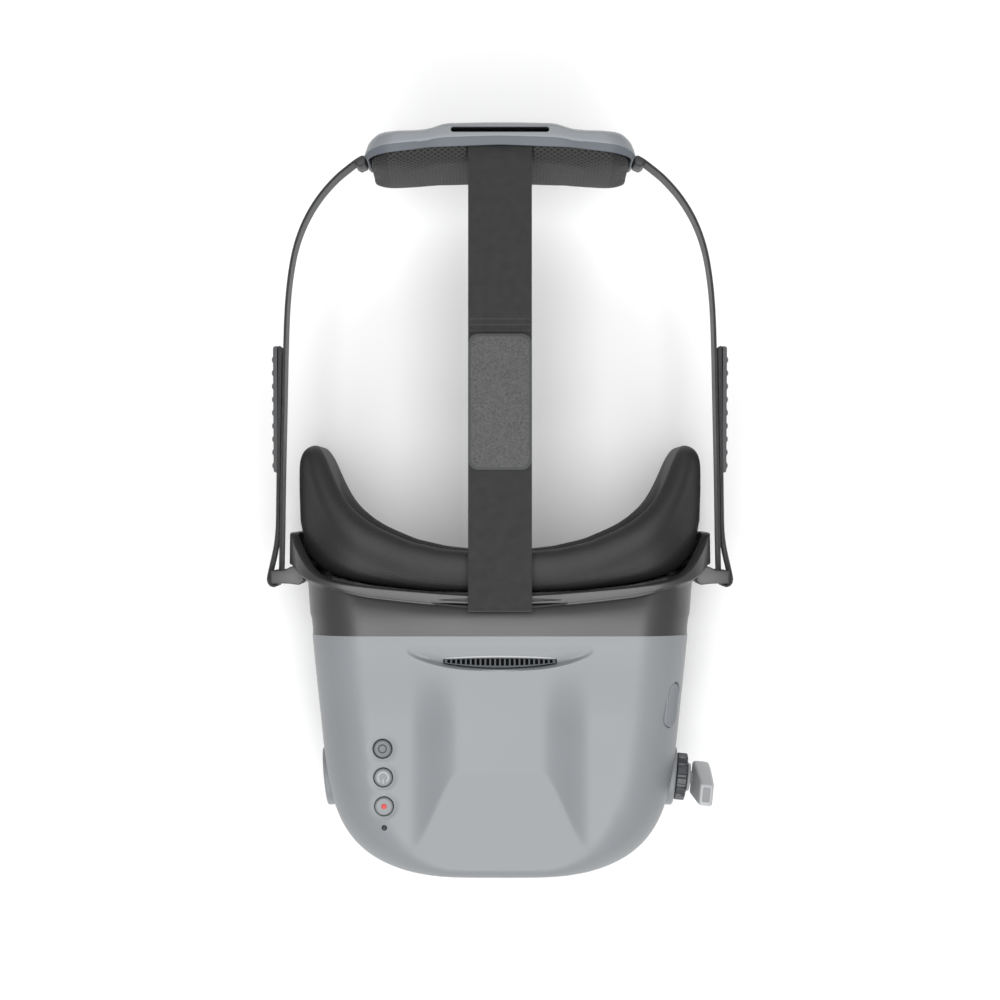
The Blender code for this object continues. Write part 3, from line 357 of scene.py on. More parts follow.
def settle(piece, crease=32.0):
    """Makes the piece's modifiers part of its mesh."""
    depsgraph = bpy.context.evaluated_depsgraph_get()
    done = bpy.data.meshes.new_from_object(piece.evaluated_get(depsgraph))
    piece.modifiers.clear()
    old = piece.data
    piece.data = done
    bpy.data.meshes.remove(old)
    smooth(piece, crease)


def carve(piece, bm, operation="DIFFERENCE"):
    """Cuts a millimetre shape out of the piece, or joins it on."""
    tool = piece_of("tool", bm, None)
    cut = piece.modifiers.new("cut", "BOOLEAN")
    cut.operation = operation
    cut.solver = "MANIFOLD"
    cut.object = tool
    settle(piece)
    bpy.data.objects.remove(tool, do_unlink=True)


def base_width(y):
    """Half-width of the straight tapering side."""
    return HOUSING_HALF_W - HOUSING_TAPER * (TAPER_Y - y)


def side_x(y):
    """Half-width of the housing at a given length."""
    d = min(1.0, max(0.0, (TAPER_Y - y) / HOUSING_LENGTH))
    return base_width(y) * (1 - d ** NOSE_POWER) ** (1 / CORNER_POWER)


def front_y(x):
    """Front outline at a given half-width."""
    y = TAPER_Y - HOUSING_LENGTH
    for _ in range(8):
        y = TAPER_Y - HOUSING_LENGTH * (1 - (abs(x) / base_width(y)) ** CORNER_POWER) ** (1 / NOSE_POWER)
    return y


def vent_front(x):
    """Front edge of the dip in front of the face frame."""
    return VENT_Y + VENT_ARC * min(1.0, (abs(x) / VENT_HALF_W) ** 3.0)


def vent_dip(x, y):
    """Depth of the dip that leads into the vent."""
    edge = 1 - (x / VENT_HALF_W) ** 2
    if edge <= 0:
        return 0.0
    front = vent_front(x)
    rise = min(1.0, max(0.0, (y - front) / VENT_RAMP))
    back = min(1.0, max(0.0, (y - front - VENT_RAMP) / (VENT_END_Y - front - VENT_RAMP)))
    return VENT_DEPTH * edge ** 0.6 * min(rise, (1 - back) ** 2)


def button_dish(x, y):
    """Depth of the shallow dish round each push button."""
    return sum(0.5 * (1 - step(4.7, 6.7, math.hypot(x - bx, y - by))) for _, bx, by in BUTTONS)


def top_z(x, y):
    """Top of the housing before its shoulders are rounded."""
    lobes = HOUSING_H - LOBE_DROP * step(-64, -105, y) * step(18, 42, abs(x))
    facet = HOUSING_H - FACET_SLOPE * (FACET_Y - y)
    h = min(1.0, max(0.0, 0.5 + 0.5 * (facet - lobes) / FACET_BLEND))
    level = facet + (lobes - facet) * h - FACET_BLEND * h * (1 - h)
    return level - vent_dip(x, y)


def housing_outline():
    """Points along the outline from the rear of one side to the front centre, with their lengths."""
    points = [Vector((side_x(y), y)) for y in [REAR_Y - k for k in range(89)]]
    points += [Vector((x, front_y(x))) for x in [side_x(-150.6) - 0.5 * k for k in range(141)] if x > 0]
    points.append(Vector((0.0, front_y(0.0))))
    lengths = [0.0]
    for a, b in zip(points, points[1:]):
        lengths.append(lengths[-1] + (b - a).length)
    return points, lengths


OUTLINE, OUTLINE_LENGTHS = housing_outline()
VENT_SHARE = 0.1


def outline_at(length):
    """Point and inward direction at a length along the outline."""
    length = min(max(length, 0.0), OUTLINE_LENGTHS[-1] - 1e-6)
    i = next(k for k, far in enumerate(OUTLINE_LENGTHS[1:]) if far > length)
    t = (length - OUTLINE_LENGTHS[i]) / (OUTLINE_LENGTHS[i + 1] - OUTLINE_LENGTHS[i])
    run = (OUTLINE[i + 1] - OUTLINE[i]).normalized()
    return OUTLINE[i].lerp(OUTLINE[i + 1], t), Vector((run.y, -run.x))


def housing_point(u, v):
    """A point of the skin: u runs from the rear to the front centre, v from underneath to the top."""
    vent_length = -REAR_Y + VENT_Y
    if u <= VENT_SHARE:
        spine_y = REAR_Y + vent_length * u / VENT_SHARE
        length = -(spine_y - REAR_Y) * 1.004
    else:
        k = (u - VENT_SHARE) / (1 - VENT_SHARE)
        spine_y = VENT_Y - 62.0 * k
        length = -vent_length * 1.004 + (OUTLINE_LENGTHS[-1] + vent_length * 1.004) * k
    edge, inward = outline_at(length)
    turn_in = step(0, 30, length)
    inward = (inward * turn_in + Vector((-1.0, 0.0)) * (1 - turn_in)).normalized()
    if u > 0.9999:
        edge.x = 0.0
        inward = Vector((0.0, 1.0))
    spine = Vector((0.0, spine_y))
    shoulder = FRONT_R + (SHOULDER_R - FRONT_R) * step(20, 74, edge.x)
    if v < 0.2:
        p = spine.lerp(edge + inward * FOOT_R, v / 0.2)
        return Vector((p.x, p.y, 0.0))
    if v < 0.3:
        a = math.radians(90 * (v - 0.2) / 0.1)
        p = edge + inward * FOOT_R * (1 - math.sin(a))
        return Vector((p.x, p.y, FOOT_R * (1 - math.cos(a))))
    crest = edge + inward * shoulder
    crest_z = top_z(crest.x, crest.y)
    if v < 0.45:
        return Vector((edge.x, edge.y, FOOT_R + (crest_z - shoulder - FOOT_R) * (v - 0.3) / 0.15))
    if v < 0.66:
        a = math.radians(90 * (v - 0.45) / 0.21)
        p = edge + inward * shoulder * (1 - math.cos(a))
        local = crest_z + (top_z(p.x, p.y) - crest_z) * math.sin(a)
        return Vector((p.x, p.y, local - shoulder * (1 - math.sin(a))))
    p = crest.lerp(spine, (v - 0.66) / 0.34)
    shift = (vent_front(p.x) - VENT_Y) * (1 - step(VENT_HALF_W, 60, p.x))
    if p.y > VENT_Y:
        p.y += shift * (REAR_Y - p.y) / (REAR_Y - VENT_Y)
    else:
        p.y += shift * (1 - step(-VENT_Y, 106, -p.y))
    return Vector((p.x, p.y, top_z(p.x, p.y)))


def boss_frame(side):
    """Frame of a side boss, with local Z pointing out of the side."""
    x, y, z = BOSS_PLACE
    turn = Matrix.Rotation(math.radians(-side * BOSS_TURN), 4, "Z")
    out = Matrix.Rotation(math.radians(side * 90), 4, "Y")
    return Matrix.Translation((side * x, y, z)) @ turn @ out


def stadium(half_x, half_y, arc=8):
    """An outline with fully rounded ends."""
    return rounded(half_x, half_y, half_y - 0.01, arc)


def grille_opening(margin):
    """Lens outline of the vent opening."""
    half = 25.4 + margin
    lower = [(-half + half * k / 12, -74.0 - (1 - (1 - k / 12) ** 2) * 2.2 - margin) for k in range(25)]
    upper = [(half - half * k / 12, -72.9 + (1 - (1 - k / 12) ** 2) * 0.9 + margin) for k in range(25)]
    return lower + upper


PORT_PLACE = (Matrix.Translation((-side_x(-94.5), -94.5, 58)) @ Matrix.Rotation(math.radians(5.1), 4, "Z")
              @ Matrix.Rotation(math.radians(-90), 4, "Y") @ Matrix.Rotation(math.radians(90), 4, "Z"))
JACK_PLACE = (Matrix.Translation((side_x(-94.2), -94.2, 58)) @ Matrix.Rotation(math.radians(-5.1), 4, "Z")
              @ Matrix.Rotation(math.radians(90), 4, "Y"))
skin = bmesh.new()
bent_grid(skin, 140, 140, housing_point)
half_skin = list(skin.verts) + list(skin.edges) + list(skin.faces)
bmesh.ops.mirror(skin, geom=half_skin, axis="X", merge_dist=0.0005)
for vert in skin.verts:
    if vert.co.z > 80:
        vert.co.z -= button_dish(vert.co.x, vert.co.y)
housing = piece_of("housing_shell", skin, HOUSING_PAINT)
wall = housing.modifiers.new("wall", "SOLIDIFY")
wall.thickness = 2.0 * MM
wall.offset = -1.0
settle(housing)
holes = bmesh.new()
for _, x, y in BUTTONS:
    rod(holes, 4.65, 88, 99, Matrix.Translation((x, y, 0)))
rod(holes, 1.3, 88, 99, Matrix.Translation((*LIGHT_PLACE, 0)), 24)
slab(holes, stadium(10.75, 4.85), ((0, -6), (0, 6)), KEY_PLACE)
for side in (-1, 1):
    rod(holes, BOSS_R + 0.2, -20, 8, boss_frame(side), 64)
    for x in SCREW_XS:
        rod(holes, 2.7, -5, 5, Matrix.Translation((side * x, SCREW_Y, 0)), 24)
slab(holes, rounded(7.8, 12.3, 2.0), ((0, -8), (0, 8)), PORT_PLACE)
rod(holes, 2.2, -6, 6, JACK_PLACE, 24)
slab(holes, grille_opening(0.5), ((0, 90), (0, 104)))
carve(housing, holes)
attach(housing, "headset")
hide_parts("housing")


# The vent: a grey strip with a row of slots, their floors and walls painted near-black as shade, pressed into the
# lens-shaped opening behind the raised centre, with a slim lip along its rear edge painted light grey as a
# highlight. Warm air leaves through the slots.
VENT_GREY = moulded("vent grey", tone(74, 77, 80), 0.5, 0.0004, 0.1)
BAR_GREY = moulded("vent rear edge", tone(96, 99, 102), 0.45, 0.0004, 0.1)
SLOTS = 22
SLOT_PITCH = 2.22
SLOT_HALF_W = 0.72
SLOT_DEPTH = 1.8
GRILLE_HALF = 25.2
LIP_HALF = 25.6


def grille_height(y):
    """Height of the sloping grille face."""
    return 97.5 + (-72.1 - y) * 0.35


def grille_columns():
    """Edges of the slots and bars from left to right."""
    edges = [-GRILLE_HALF]
    for k in range(SLOTS):
        centre = (k - (SLOTS - 1) / 2) * SLOT_PITCH
        edges += [centre - SLOT_HALF_W, centre + SLOT_HALF_W]
    return edges + [GRILLE_HALF]


def grille_point(u, v):
    """A point of the lens-shaped strip; v takes it from the front edge to the rear edge."""
    x = COLUMNS[round(u * (len(COLUMNS) - 1))]
    spread = 1 - (x / (GRILLE_HALF + 1.2)) ** 2
    low = -74.0 - spread * 2.2
    high = -72.7 + spread * 0.7
    rows = (low, low + 0.15 + 0.65 * spread, high - 0.2, high)
    y = rows[round(v * 3)]
    return Vector((x, y, grille_height(y)))


COLUMNS = grille_columns()
strip = bmesh.new()
bent_grid(strip, len(COLUMNS) - 1, 3, grille_point)
slots = []
for column, (left, right) in enumerate(zip(COLUMNS, COLUMNS[1:])):
    faces = [face for face in strip.faces if left <= face.calc_center_median().x <= right]
    _, middle, rear = sorted(faces, key=lambda face: face.calc_center_median().y)
    rear.material_index = 1
    if column % 2 == 1:
        slots.append(middle)
# The sunken slot floors and the slot walls take near-black paint: painted shade in place of the dark depth behind
# the open vent.
for floor in bmesh.ops.extrude_discrete_faces(strip, faces=slots)["faces"]:
    floor.material_index = 2
    for vert in floor.verts:
        vert.co.z -= SLOT_DEPTH
        vert.co.x *= 0.999
for face in strip.faces:
    if abs(face.normal.z) < 0.5 and face.material_index == 0:
        face.material_index = 2
grille = piece_of("vent_strip", strip, VENT_GREY)
grille.data.materials.append(BAR_GREY)
# Near-black painted shade for the slot floors and walls.
grille.data.materials.append(moulded("vent slot painted shade", tone(4, 5, 6), 0.9, 0.0004, 0.05, gloss=0.2))
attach(grille, "headset")
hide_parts("vent_grille")
lip_shape = bmesh.new()


def lip_point(u, v):
    """Half-round lip that runs across the rear of the vent."""
    x = LIP_HALF * (2 * u - 1)
    a = math.pi * (0.02 + 0.96 * v)
    swell = max(0.0, 1 - (x / LIP_HALF) ** 2) ** 0.35
    y = -71.1 - (x / LIP_HALF) ** 2
    return Vector((x, y - 0.75 * swell * math.cos(a), 97.75 + 1.5 * swell * math.sin(a)))


bent_grid(lip_shape, 60, 10, lip_point)
close(lip_shape)
# The lip's light grey paint is a painted highlight: it stands in for the bright line where the rounded lip catches
# the light.
LIP_HIGHLIGHT = moulded("vent lip painted highlight", tone(176, 179, 181), 0.35, 0.0004, 0.05)
lip = piece_of("vent_lip", lip_shape, LIP_HIGHLIGHT)
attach(lip, "headset")


# The three push buttons on the left lobe: grey caps with a fine raised symbol each, in round holes
# with a dark gap. Each moves half a millimetre onto its switch. A small lamp sits ahead of them.
BUTTON_PAINTS = {
    "menu": moulded("menu button grey", tone(96, 99, 102), 0.4, 0.0004, 0.08),
    "power": moulded("power button grey", tone(118, 121, 124), 0.4, 0.0004, 0.08),
    "record": moulded("record button grey", tone(124, 127, 130), 0.4, 0.0004, 0.08),
}
SYMBOL_PAINT = moulded("symbol light grey", tone(170, 173, 175), 0.5, 0.0003, 0.05)
SYMBOL_DARK = moulded("symbol dark grey", tone(34, 36, 38), 0.5, 0.0003, 0.05)
RECORD_RED = moulded("record red", tone(196, 52, 50), 0.4, 0.0003, 0.05)
LAMP_DARK = moulded("status lamp smoke", tone(20, 21, 23), 0.5, 0.0003, 0.03)
for name, x, y in BUTTONS:
    place = Matrix.Translation((x, y, 0))
    cap = bmesh.new()
    spun(cap, ((0, 88.1), (1.5, 88.1), (1.5, 89.4), (5.3, 89.4), (5.3, 90.3), (4.2, 90.4), (4.2, 93.1),
               (4.1, 93.6), (3.8, 94.05), (3.45, 94.26), (2.9, 94.24), (1.6, 94.15), (0, 94.12)), place, 56)
    button = piece_of("cap_" + name, cap, BUTTON_PAINTS[name])
    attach(button, name + "_button")
    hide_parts("button_" + name)


def mark_ring(bm, radius, width, place, start=0.0, sweep=360.0):
    """A thin raised ring, or part of one, on a button's cap."""
    low, high = radius - width / 2, radius + width / 2
    corners = ((low, 94.12), (high, 94.12), (high, 94.29), (low, 94.29))
    before = set(bm.verts)
    verts = [bm.verts.new((r, 0.0, h)) for r, h in corners]
    edges = [bm.edges.new(pair) for pair in zip(verts, verts[1:] + verts[:1])]
    face = [] if sweep >= 360 else [bm.faces.new(verts)]
    bmesh.ops.rotate(bm, cent=(0, 0, 0), matrix=Matrix.Rotation(math.radians(start), 3, "Z"), verts=verts)
    bmesh.ops.spin(bm, geom=verts + edges + face, cent=(0, 0, 0), axis=(0, 0, 1),
                   angle=math.radians(sweep), steps=40, use_merge=sweep >= 360)
    bmesh.ops.transform(bm, matrix=place, verts=[v for v in bm.verts if v not in before])


for (name, x, y), finish in zip(BUTTONS, (SYMBOL_DARK, SYMBOL_PAINT)):
    symbol = bmesh.new()
    if name == "menu":
        mark_ring(symbol, 1.8, 0.6, Matrix.Translation((x, y, 0)))
    else:
        mark_ring(symbol, 2.35, 0.5, Matrix.Translation((x, y, 0)), -52.0, 284.0)
        block(symbol, (x - 0.25, y - 2.7, 94.0), (x + 0.25, y - 0.7, 94.28), 0.05)
    mark = piece_of("mark_" + name, symbol, finish)
    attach(mark, name + "_button")
_, x, y = BUTTONS[2]
dot = bmesh.new()
spun(dot, ((0, 94.16), (1.2, 94.16), (1.2, 94.3), (1.0, 94.42), (0, 94.46)), Matrix.Translation((x, y, 0)), 32)
red_dot = piece_of("mark_record", dot, RECORD_RED)
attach(red_dot, "record_button")
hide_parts("record_dot")
dome = bmesh.new()
spun(dome, ((0, 86.2), (1.7, 86.2), (1.7, 87.6), (1.15, 88.2), (1.15, 92.9), (0.95, 93.2), (0.5, 93.35),
            (0, 93.4)), Matrix.Translation((*LIGHT_PLACE, 0)), 32)
status_lamp = piece_of("lamp_status", dome, LAMP_DARK)
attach(status_lamp, "headset")
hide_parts("status_light")


# The rocker key on the right shoulder: a long grey key with a dished middle that tips about its
# centre onto one of two switches below it.
KEY_PAINT = moulded("rocker key grey", tone(118, 121, 125), 0.38, 0.0004, 0.08)
key_shape = bmesh.new()
slab(key_shape, stadium(10.4, 4.5, 12), ((0.8, -3.0), (0, -2.6), (0, 0.2), (0.12, 0.5), (0.4, 0.72), (0.8, 0.8),
                                        (1.3, 0.75), (1.8, 0.6), (2.6, 0.42), (3.6, 0.35)), KEY_PLACE)
key = piece_of("key_rocker", key_shape, KEY_PAINT, 40)
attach(key, "rocker")
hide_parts("rocker_key")


# The sockets in the sides and the boards and optics inside. They keep their shapes from the frame
# and take a finish of their own: black plastic, brushed steel, gold plate, green board, clear optics.
def brushed(name, colour, rough, along):
    """Metal with fine lines along one direction."""
    finish, tree, shader = new_finish(name)
    drawn = add(tree, "Mapping", {"Vector": object_place(tree), "Scale": along})["Vector"]
    lines = noise(tree, drawn, 900.0, 4.0)
    spread = add(tree, "MapRange", {"Value": lines, "To Min": rough - 0.08, "To Max": rough + 0.1})["Result"]
    feed(tree, shader, {"Base Color": blended(tree, lines, darker(colour, 0.82), colour), "Metallic": 1.0,
                        "Roughness": spread, "Normal": bumped(tree, lines, 0.08, 0.0001)})
    return finish


def circuit(name, ground, track):
    """Circuit board with rows of copper tracks and pads under the solder mask."""
    finish, tree, shader = new_finish(name)
    cells = add(tree, "TexVoronoi", {"Vector": object_place(tree), "Scale": 260.0, "Randomness": 0.35},
                feature="DISTANCE_TO_EDGE", distance="EUCLIDEAN")["Distance"]
    tracks = maths(tree, "LESS_THAN", cells, 0.07)
    feed(tree, shader, {"Base Color": blended(tree, tracks, ground, track), "Roughness": 0.35,
                        "Normal": bumped(tree, tracks, 0.2, 0.0001)})
    return finish


STEEL = brushed("brushed steel", tone(186, 188, 190), 0.32, (1.0, 0.06, 1.0))
GOLD = brushed("gold plate", tone(214, 176, 98), 0.3, (1.0, 1.0, 0.1))
BLACK_PLASTIC = moulded("black plastic", tone(36, 37, 39), 0.5, 0.0005, 0.15)
BOARD = circuit("green board", tone(20, 74, 48), tone(62, 118, 72))
CELL_WRAP = moulded("cell wrap blue", tone(52, 68, 110), 0.3, 0.002, 0.05)
SCREEN = moulded("screen black", tone(12, 13, 17), 0.12, 0.002, 0.02)
LENS_CLEAR = moulded("clear optics", tone(232, 236, 238), 0.04, 0.004, 0.02)
feed(LENS_CLEAR.node_tree, LENS_CLEAR.node_tree.nodes["Principled BSDF"], {"Transmission Weight": 0.92, "IOR": 1.49})
for nodes, finish in (
        (("switch_menu", "switch_power", "switch_record", "rocker_switch_1", "rocker_switch_2", "port_panel",
          "memory_card", "side_jack", "lens_frame", "light_shroud", "foam_carrier", "cradle_plate",
          "strap_clamp"), BLACK_PLASTIC),
        (("usb_socket", "card_slot", "antenna_pin", "board_screw_1", "board_screw_2", "frame_screw_1",
          "frame_screw_2", "frame_screw_3", "frame_screw_4", "cradle_screw_left", "cradle_screw_right",
          "display_bracket", "processor_shield", "receiver_module"), STEEL),
        (("main_board", "button_board", "rocker_board"), BOARD), (("sma_socket",), GOLD), (("lens",), LENS_CLEAR),
        (("display_panel",), SCREEN), (("battery_pack",), CELL_WRAP)):
    for node in nodes:
        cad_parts[node].data.materials.clear()
        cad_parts[node].data.materials.append(finish)


# The side bosses and the folding antenna: a grey plug in each side of the housing. On the right one
# a ribbed nut screws the antenna's knuckle to its socket, and the flat blade stands up on a pin.
RING_PAINT = moulded("antenna ring grey", tone(58, 61, 64), 0.35, 0.0004, 0.1)
BLADE_PAINT = moulded("antenna blade grey", tone(164, 166, 168), 0.42, 0.0005, 0.1)
BLADE_PANEL = moulded("antenna panel grey", tone(122, 124, 126), 0.45, 0.0005, 0.08)
NUT_RIBS = 14
PIN_UP = 11.8
for side, label in ((-1, "left"), (1, "right")):
    plug = bmesh.new()
    bore_r = 3.5 if side == 1 else 0
    spun(plug, ((bore_r, -6.2), (BOSS_R, -6.2), (BOSS_R, -1.1), (13.55, -0.5), (13.1, -0.1), (12.6, 0.0),
                (bore_r, 0.0)), boss_frame(side), 72, side == 1)
    boss = piece_of("plug_" + label, plug, HOUSING_PAINT)
    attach(boss, "headset")
    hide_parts("boss_" + label)
place = boss_frame(1)
ribs = []
for k in range(NUT_RIBS * 8):
    a = 2 * math.pi * k / (NUT_RIBS * 8)
    radius = 11.0 if k % 8 <= 4 else 10.15
    ribs.append((radius * math.cos(a), radius * math.sin(a)))
nut_shape = bmesh.new()
slab(nut_shape, ribs, ((1.3, 0.35), (0.35, 0.5), (0, 0.9), (0, 4.8), (0.3, 5.2), (1.1, 5.45)), place)
nut = piece_of("ring_nut", nut_shape, RING_PAINT)
bore = bmesh.new()
rod(bore, 3.7, -2, 8, place, 32)
carve(nut, bore)
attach(nut, "nut")
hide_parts("antenna_nut")
disc = bmesh.new()
spun(disc, ((0, 5.8), (6.2, 5.8), (6.5, 6.1), (6.5, 6.8), (6.35, 7.1), (6.0, 7.2), (0, 7.2)), place, 48)
knuckle = piece_of("knuckle_disc", disc, BLADE_PAINT)
tongue = bmesh.new()
edge = [(-2.6, 6.6), (2.6, 6.6)]
for k in range(21):
    a = math.radians(9 * k)
    edge.append((2.6 * math.cos(a), PIN_UP + 2.6 * math.sin(a)))
upright = place @ Matrix.Rotation(math.radians(90), 4, "X")
slab(tongue, edge, ((0, -2.7), (0, 2.7)), upright)
carve(knuckle, tongue, "UNION")
bore = bmesh.new()
rod(bore, 1.3, -6, 6, upright @ Matrix.Translation((0, PIN_UP, 0)), 32)
carve(knuckle, bore)
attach(knuckle, "swivel")
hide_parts("antenna_knuckle")


def blade_point(u, v):
    """A point of the blade: u runs round its outline, v from the foot to the tip."""
    up, half_t, half_w = BLADE_LEVELS[round(v * (len(BLADE_LEVELS) - 1))]
    t, s = BLADE_OUTLINE[round(u * len(BLADE_OUTLINE)) % len(BLADE_OUTLINE)]
    return place @ Vector((-up, s * half_w / 8.0 - (7.9 - half_w), 11.9 + t * half_t / 4.0))


BLADE_LEVELS = ((-4.15, 0.7, 7.2), (-3.9, 1.5, 7.5), (-3.4, 2.45, 7.7), (-2.7, 3.2, 7.8), (-1.5, 3.85, 7.85),
                (0.0, 4.0, 7.9), (3.0, 4.0, 7.8), (12.0, 3.9, 7.4), (20.0, 3.75, 6.85), (28.0, 3.6, 6.3),
                (35.0, 3.45, 5.8), (41.0, 3.3, 5.3), (43.6, 3.2, 5.1), (44.5, 3.0, 4.95), (45.0, 2.7, 4.7),
                (45.2, 2.3, 4.35))
BLADE_OUTLINE = rounded(4.0, 8.0, 1.5, 6)
fin = bmesh.new()
bent_grid(fin, len(BLADE_OUTLINE), len(BLADE_LEVELS) - 1, blade_point)
bmesh.ops.remove_doubles(fin, verts=fin.verts, dist=0.0005)
close(fin)
blade = piece_of("blade_fin", fin, BLADE_PAINT, 40)
gap = bmesh.new()
block(gap, (-6.6, -3.0, 4.0), (12, 3.0, 20.0), 0, place)
carve(blade, gap)
bore = bmesh.new()
rod(bore, 1.3, -9, 9, upright @ Matrix.Translation((0, PIN_UP, 0)), 32)
carve(blade, bore)
tip = (place @ Matrix.Translation((0, -2.9, 11.9)) @ Matrix.Rotation(math.radians(-90), 4, "Y")
       @ Matrix.Rotation(math.radians(90), 4, "Z"))
pocket = bmesh.new()
slab(pocket, rounded(3.4, 1.75, 0.6), ((0, 44.85), (0, 46.5)), tip)
carve(blade, pocket)
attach(blade, "blade")
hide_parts("antenna_blade")
inlay = bmesh.new()
slab(inlay, rounded(3.3, 1.65, 0.55), ((0, 44.6), (0, 44.95), (0.08, 45.02)), tip)
panel = piece_of("blade_inlay", inlay, BLADE_PANEL)
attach(panel, "blade")


# The face frame: one darker grey moulding screwed to the rear of the housing. A neck widens to a rim
# that holds the foam; a slotted bar at its top carries the top strap and two lugs the side straps.
FRAME_PAINT = moulded("face frame grey", tone(52, 52, 53), 0.4, 0.0004, 0.12, gloss=0.62)
RIM_FRONT = ((0, -47.0), (14, -47.0), (33.1, -46.5), (47.3, -45.0), (61.4, -43.3),
             (75.6, -40.1), (82.6, -38.3), (89.7, -36.2), (95.5, -29.9))
RIM_REAR = ((0, -43.2), (14.7, -42.9), (26, -42.2), (40.3, -41.0), (54.3, -39.7), (68.4, -38.0),
            (77.7, -35.9), (82.6, -33.0), (86.1, -29.2), (89.0, -24.2), (93.6, -14.9))
NOSE_LIFT = 26.0
BAR_HALF = 31.0
SLIT_HALF = 28.5


def eased(points, x, reach=2.5):
    """A look-up whose corners are rounded over a short reach."""
    weights = ((-1.0, 0.2), (-0.5, 0.25), (0.0, 0.1), (0.5, 0.25), (1.0, 0.2))
    last = points[-1][0]
    near = min(reach, max(0.0, last - abs(x)))
    return sum(w * lookup(points, abs(abs(x) + k * near)) for k, w in weights)


def nose_arch(x, z):
    """Height after the arch that leaves room for the nose."""
    return z + NOSE_LIFT * (1 - step(6, 34, abs(x))) * (1 - step(0, 58, z))


def hoop_section(half_w, low, high, top_r, low_r, share):
    """A point (x, z) on the outline across the goggles; share runs once round from bottom centre."""
    h = share * 2 if share <= 0.5 else (1 - share) * 2
    if h <= 0.26:
        x, z = (half_w - low_r) * (h / 0.26) ** 1.15, low
    elif h <= 0.44:
        a = math.radians(-90 + 90 * (h - 0.26) / 0.18)
        x, z = half_w - low_r + low_r * math.cos(a), low + low_r + low_r * math.sin(a)
    elif h <= 0.56:
        x, z = half_w, low + low_r + (high - top_r - low - low_r) * (h - 0.44) / 0.12
    elif h <= 0.74:
        a = math.radians(90 * (h - 0.56) / 0.18)
        x, z = half_w - top_r + top_r * math.cos(a), high - top_r + top_r * math.sin(a)
    else:
        x, z = (half_w - top_r) * ((1 - h) / 0.26) ** 1.15, high
    return (x if share <= 0.5 else -x), z


def hoop(rows):
    """A place function over rings; each row is (half_w, low, high, top_r, low_r, y_of_x, arch)."""
    def place(u, v):
        half_w, low, high, top_r, low_r, y_of_x, lifted = rows[round(v * (len(rows) - 1))]
        x, z = hoop_section(half_w, low, high, top_r, low_r, u)
        return Vector((x, y_of_x(x), nose_arch(x, z) if lifted else z))
    return place


def front_of(gap):
    """Front line of the rim moved back by a gap."""
    return lambda x: eased(RIM_FRONT, x) + gap


FRAME_ROWS = [
    (86.6, 0.0, 100.0, 24, 14, lambda x: -61.95, False),
    (86.75, 0.02, 100.0, 24, 14, lambda x: -58.5, False),
    (87.2, 0.1, 99.95, 24, 14, lambda x: min(-54.6, eased(RIM_FRONT, x) - 6.2), False),
    (87.9, 0.2, 99.55, 24.3, 14.3, lambda x: min(-52.4, eased(RIM_FRONT, x) - 4.0), True),
    (89.0, 0.4, 98.7, 24.3, 15, front_of(-2.3), True),
    (90.6, 0.4, 97.9, 24, 16, front_of(-1.0), True),
    (92.6, 0.4, 98.0, 24, 17, front_of(-0.25), True),
    (95.9, 0.4, 104.4, 27.4, 18.8, front_of(0.0), True),
    (96.9, 0.4, 105.7, 28, 19.7, front_of(0.2), True),
    (97.3, 0.4, 106.0, 28, 20, front_of(0.75), True),
    (97.1, 0.5, 105.9, 28, 20, lambda x: eased(RIM_REAR, x * 93.6 / 97.1) - 0.6, True),
    (96.6, 0.9, 105.3, 28, 19.6, lambda x: eased(RIM_REAR, x * 93.6 / 96.6) - 0.1, True),
    (95.2, 1.8, 103.0, 27.4, 18.8, lambda x: eased(RIM_REAR, x * 93.6 / 95.2), True),
    (93.6, 2.6, 100.7, 27, 18, lambda x: eased(RIM_REAR, x) - 0.2, True),
    (93.3, 3.0, 100.3, 27, 18, lambda x: min(eased(RIM_FRONT, x) + 2.4, eased(RIM_REAR, x) - 0.8), True),
    (86.0, 9.0, 95.2, 20, 14, front_of(0.4), True),
    (84.4, 3.0, 95.4, 21.8, 12, lambda x: -54.5, False),
    (81.8, 4.2, 89.2, 17, 10, lambda x: -72.0, False),
    (83.3, 2.5, 90.8, 19.5, 12, lambda x: -72.0, False),
    (84.3, 2.5, 97.4, 21.5, 11.7, lambda x: -61.95, False),
    (86.6, 0.0, 100.0, 24, 14, lambda x: -61.95, False),
]
rim_shape = bmesh.new()
bent_grid(rim_shape, 200, len(FRAME_ROWS) - 1, hoop(FRAME_ROWS))
face_frame = piece_of("frame_ring", rim_shape, FRAME_PAINT, 40)
bar = bmesh.new()
lens_edge = [(BAR_HALF, -46.4), (-BAR_HALF, -46.4)]
for k in range(25):
    x = -BAR_HALF + 2 * BAR_HALF * k / 24
    lens_edge.append((x, -46.9 - 2.2 * max(0.0, 1 - (x / BAR_HALF) ** 2) ** 0.6))
base = bar.faces.new([bar.verts.new((x, y, 95.8)) for x, y in lens_edge])
for grow, height in ((0.0, 104.9), (0.35, 105.8), (0.9, 106.2)):
    base = bmesh.ops.extrude_discrete_faces(bar, faces=[base])["faces"][0]
    for vert in base.verts:
        vert.co.z = height - 3.4 * step(17.0, 28.0, abs(vert.co.x))
        if grow and vert.co.y < -46.5:
            vert.co.y += 0.35 if grow < 0.5 else 0.5
            vert.co.x *= 0.995
close(bar)
wings = []
for side in (-1, 1):
    wing = bmesh.new()
    lug = ((92.6, -29.5), (97.0, -31.0), (99.5, -32.3), (105.6, -32.6), (105.6, -38.4), (97.0, -38.6),
           (92.4, -39.2), (90.0, -37.0))
    slab(wing, [(side * x, y) for x, y in lug], ((0, 54.7), (0, 84.3)))
    bevelled(wing, list(wing.edges), 0.6, 3)
    wings.append(wing)
carve(face_frame, bar, "UNION")
for wing in wings:
    carve(face_frame, wing, "UNION")
gaps = bmesh.new()
slit = []
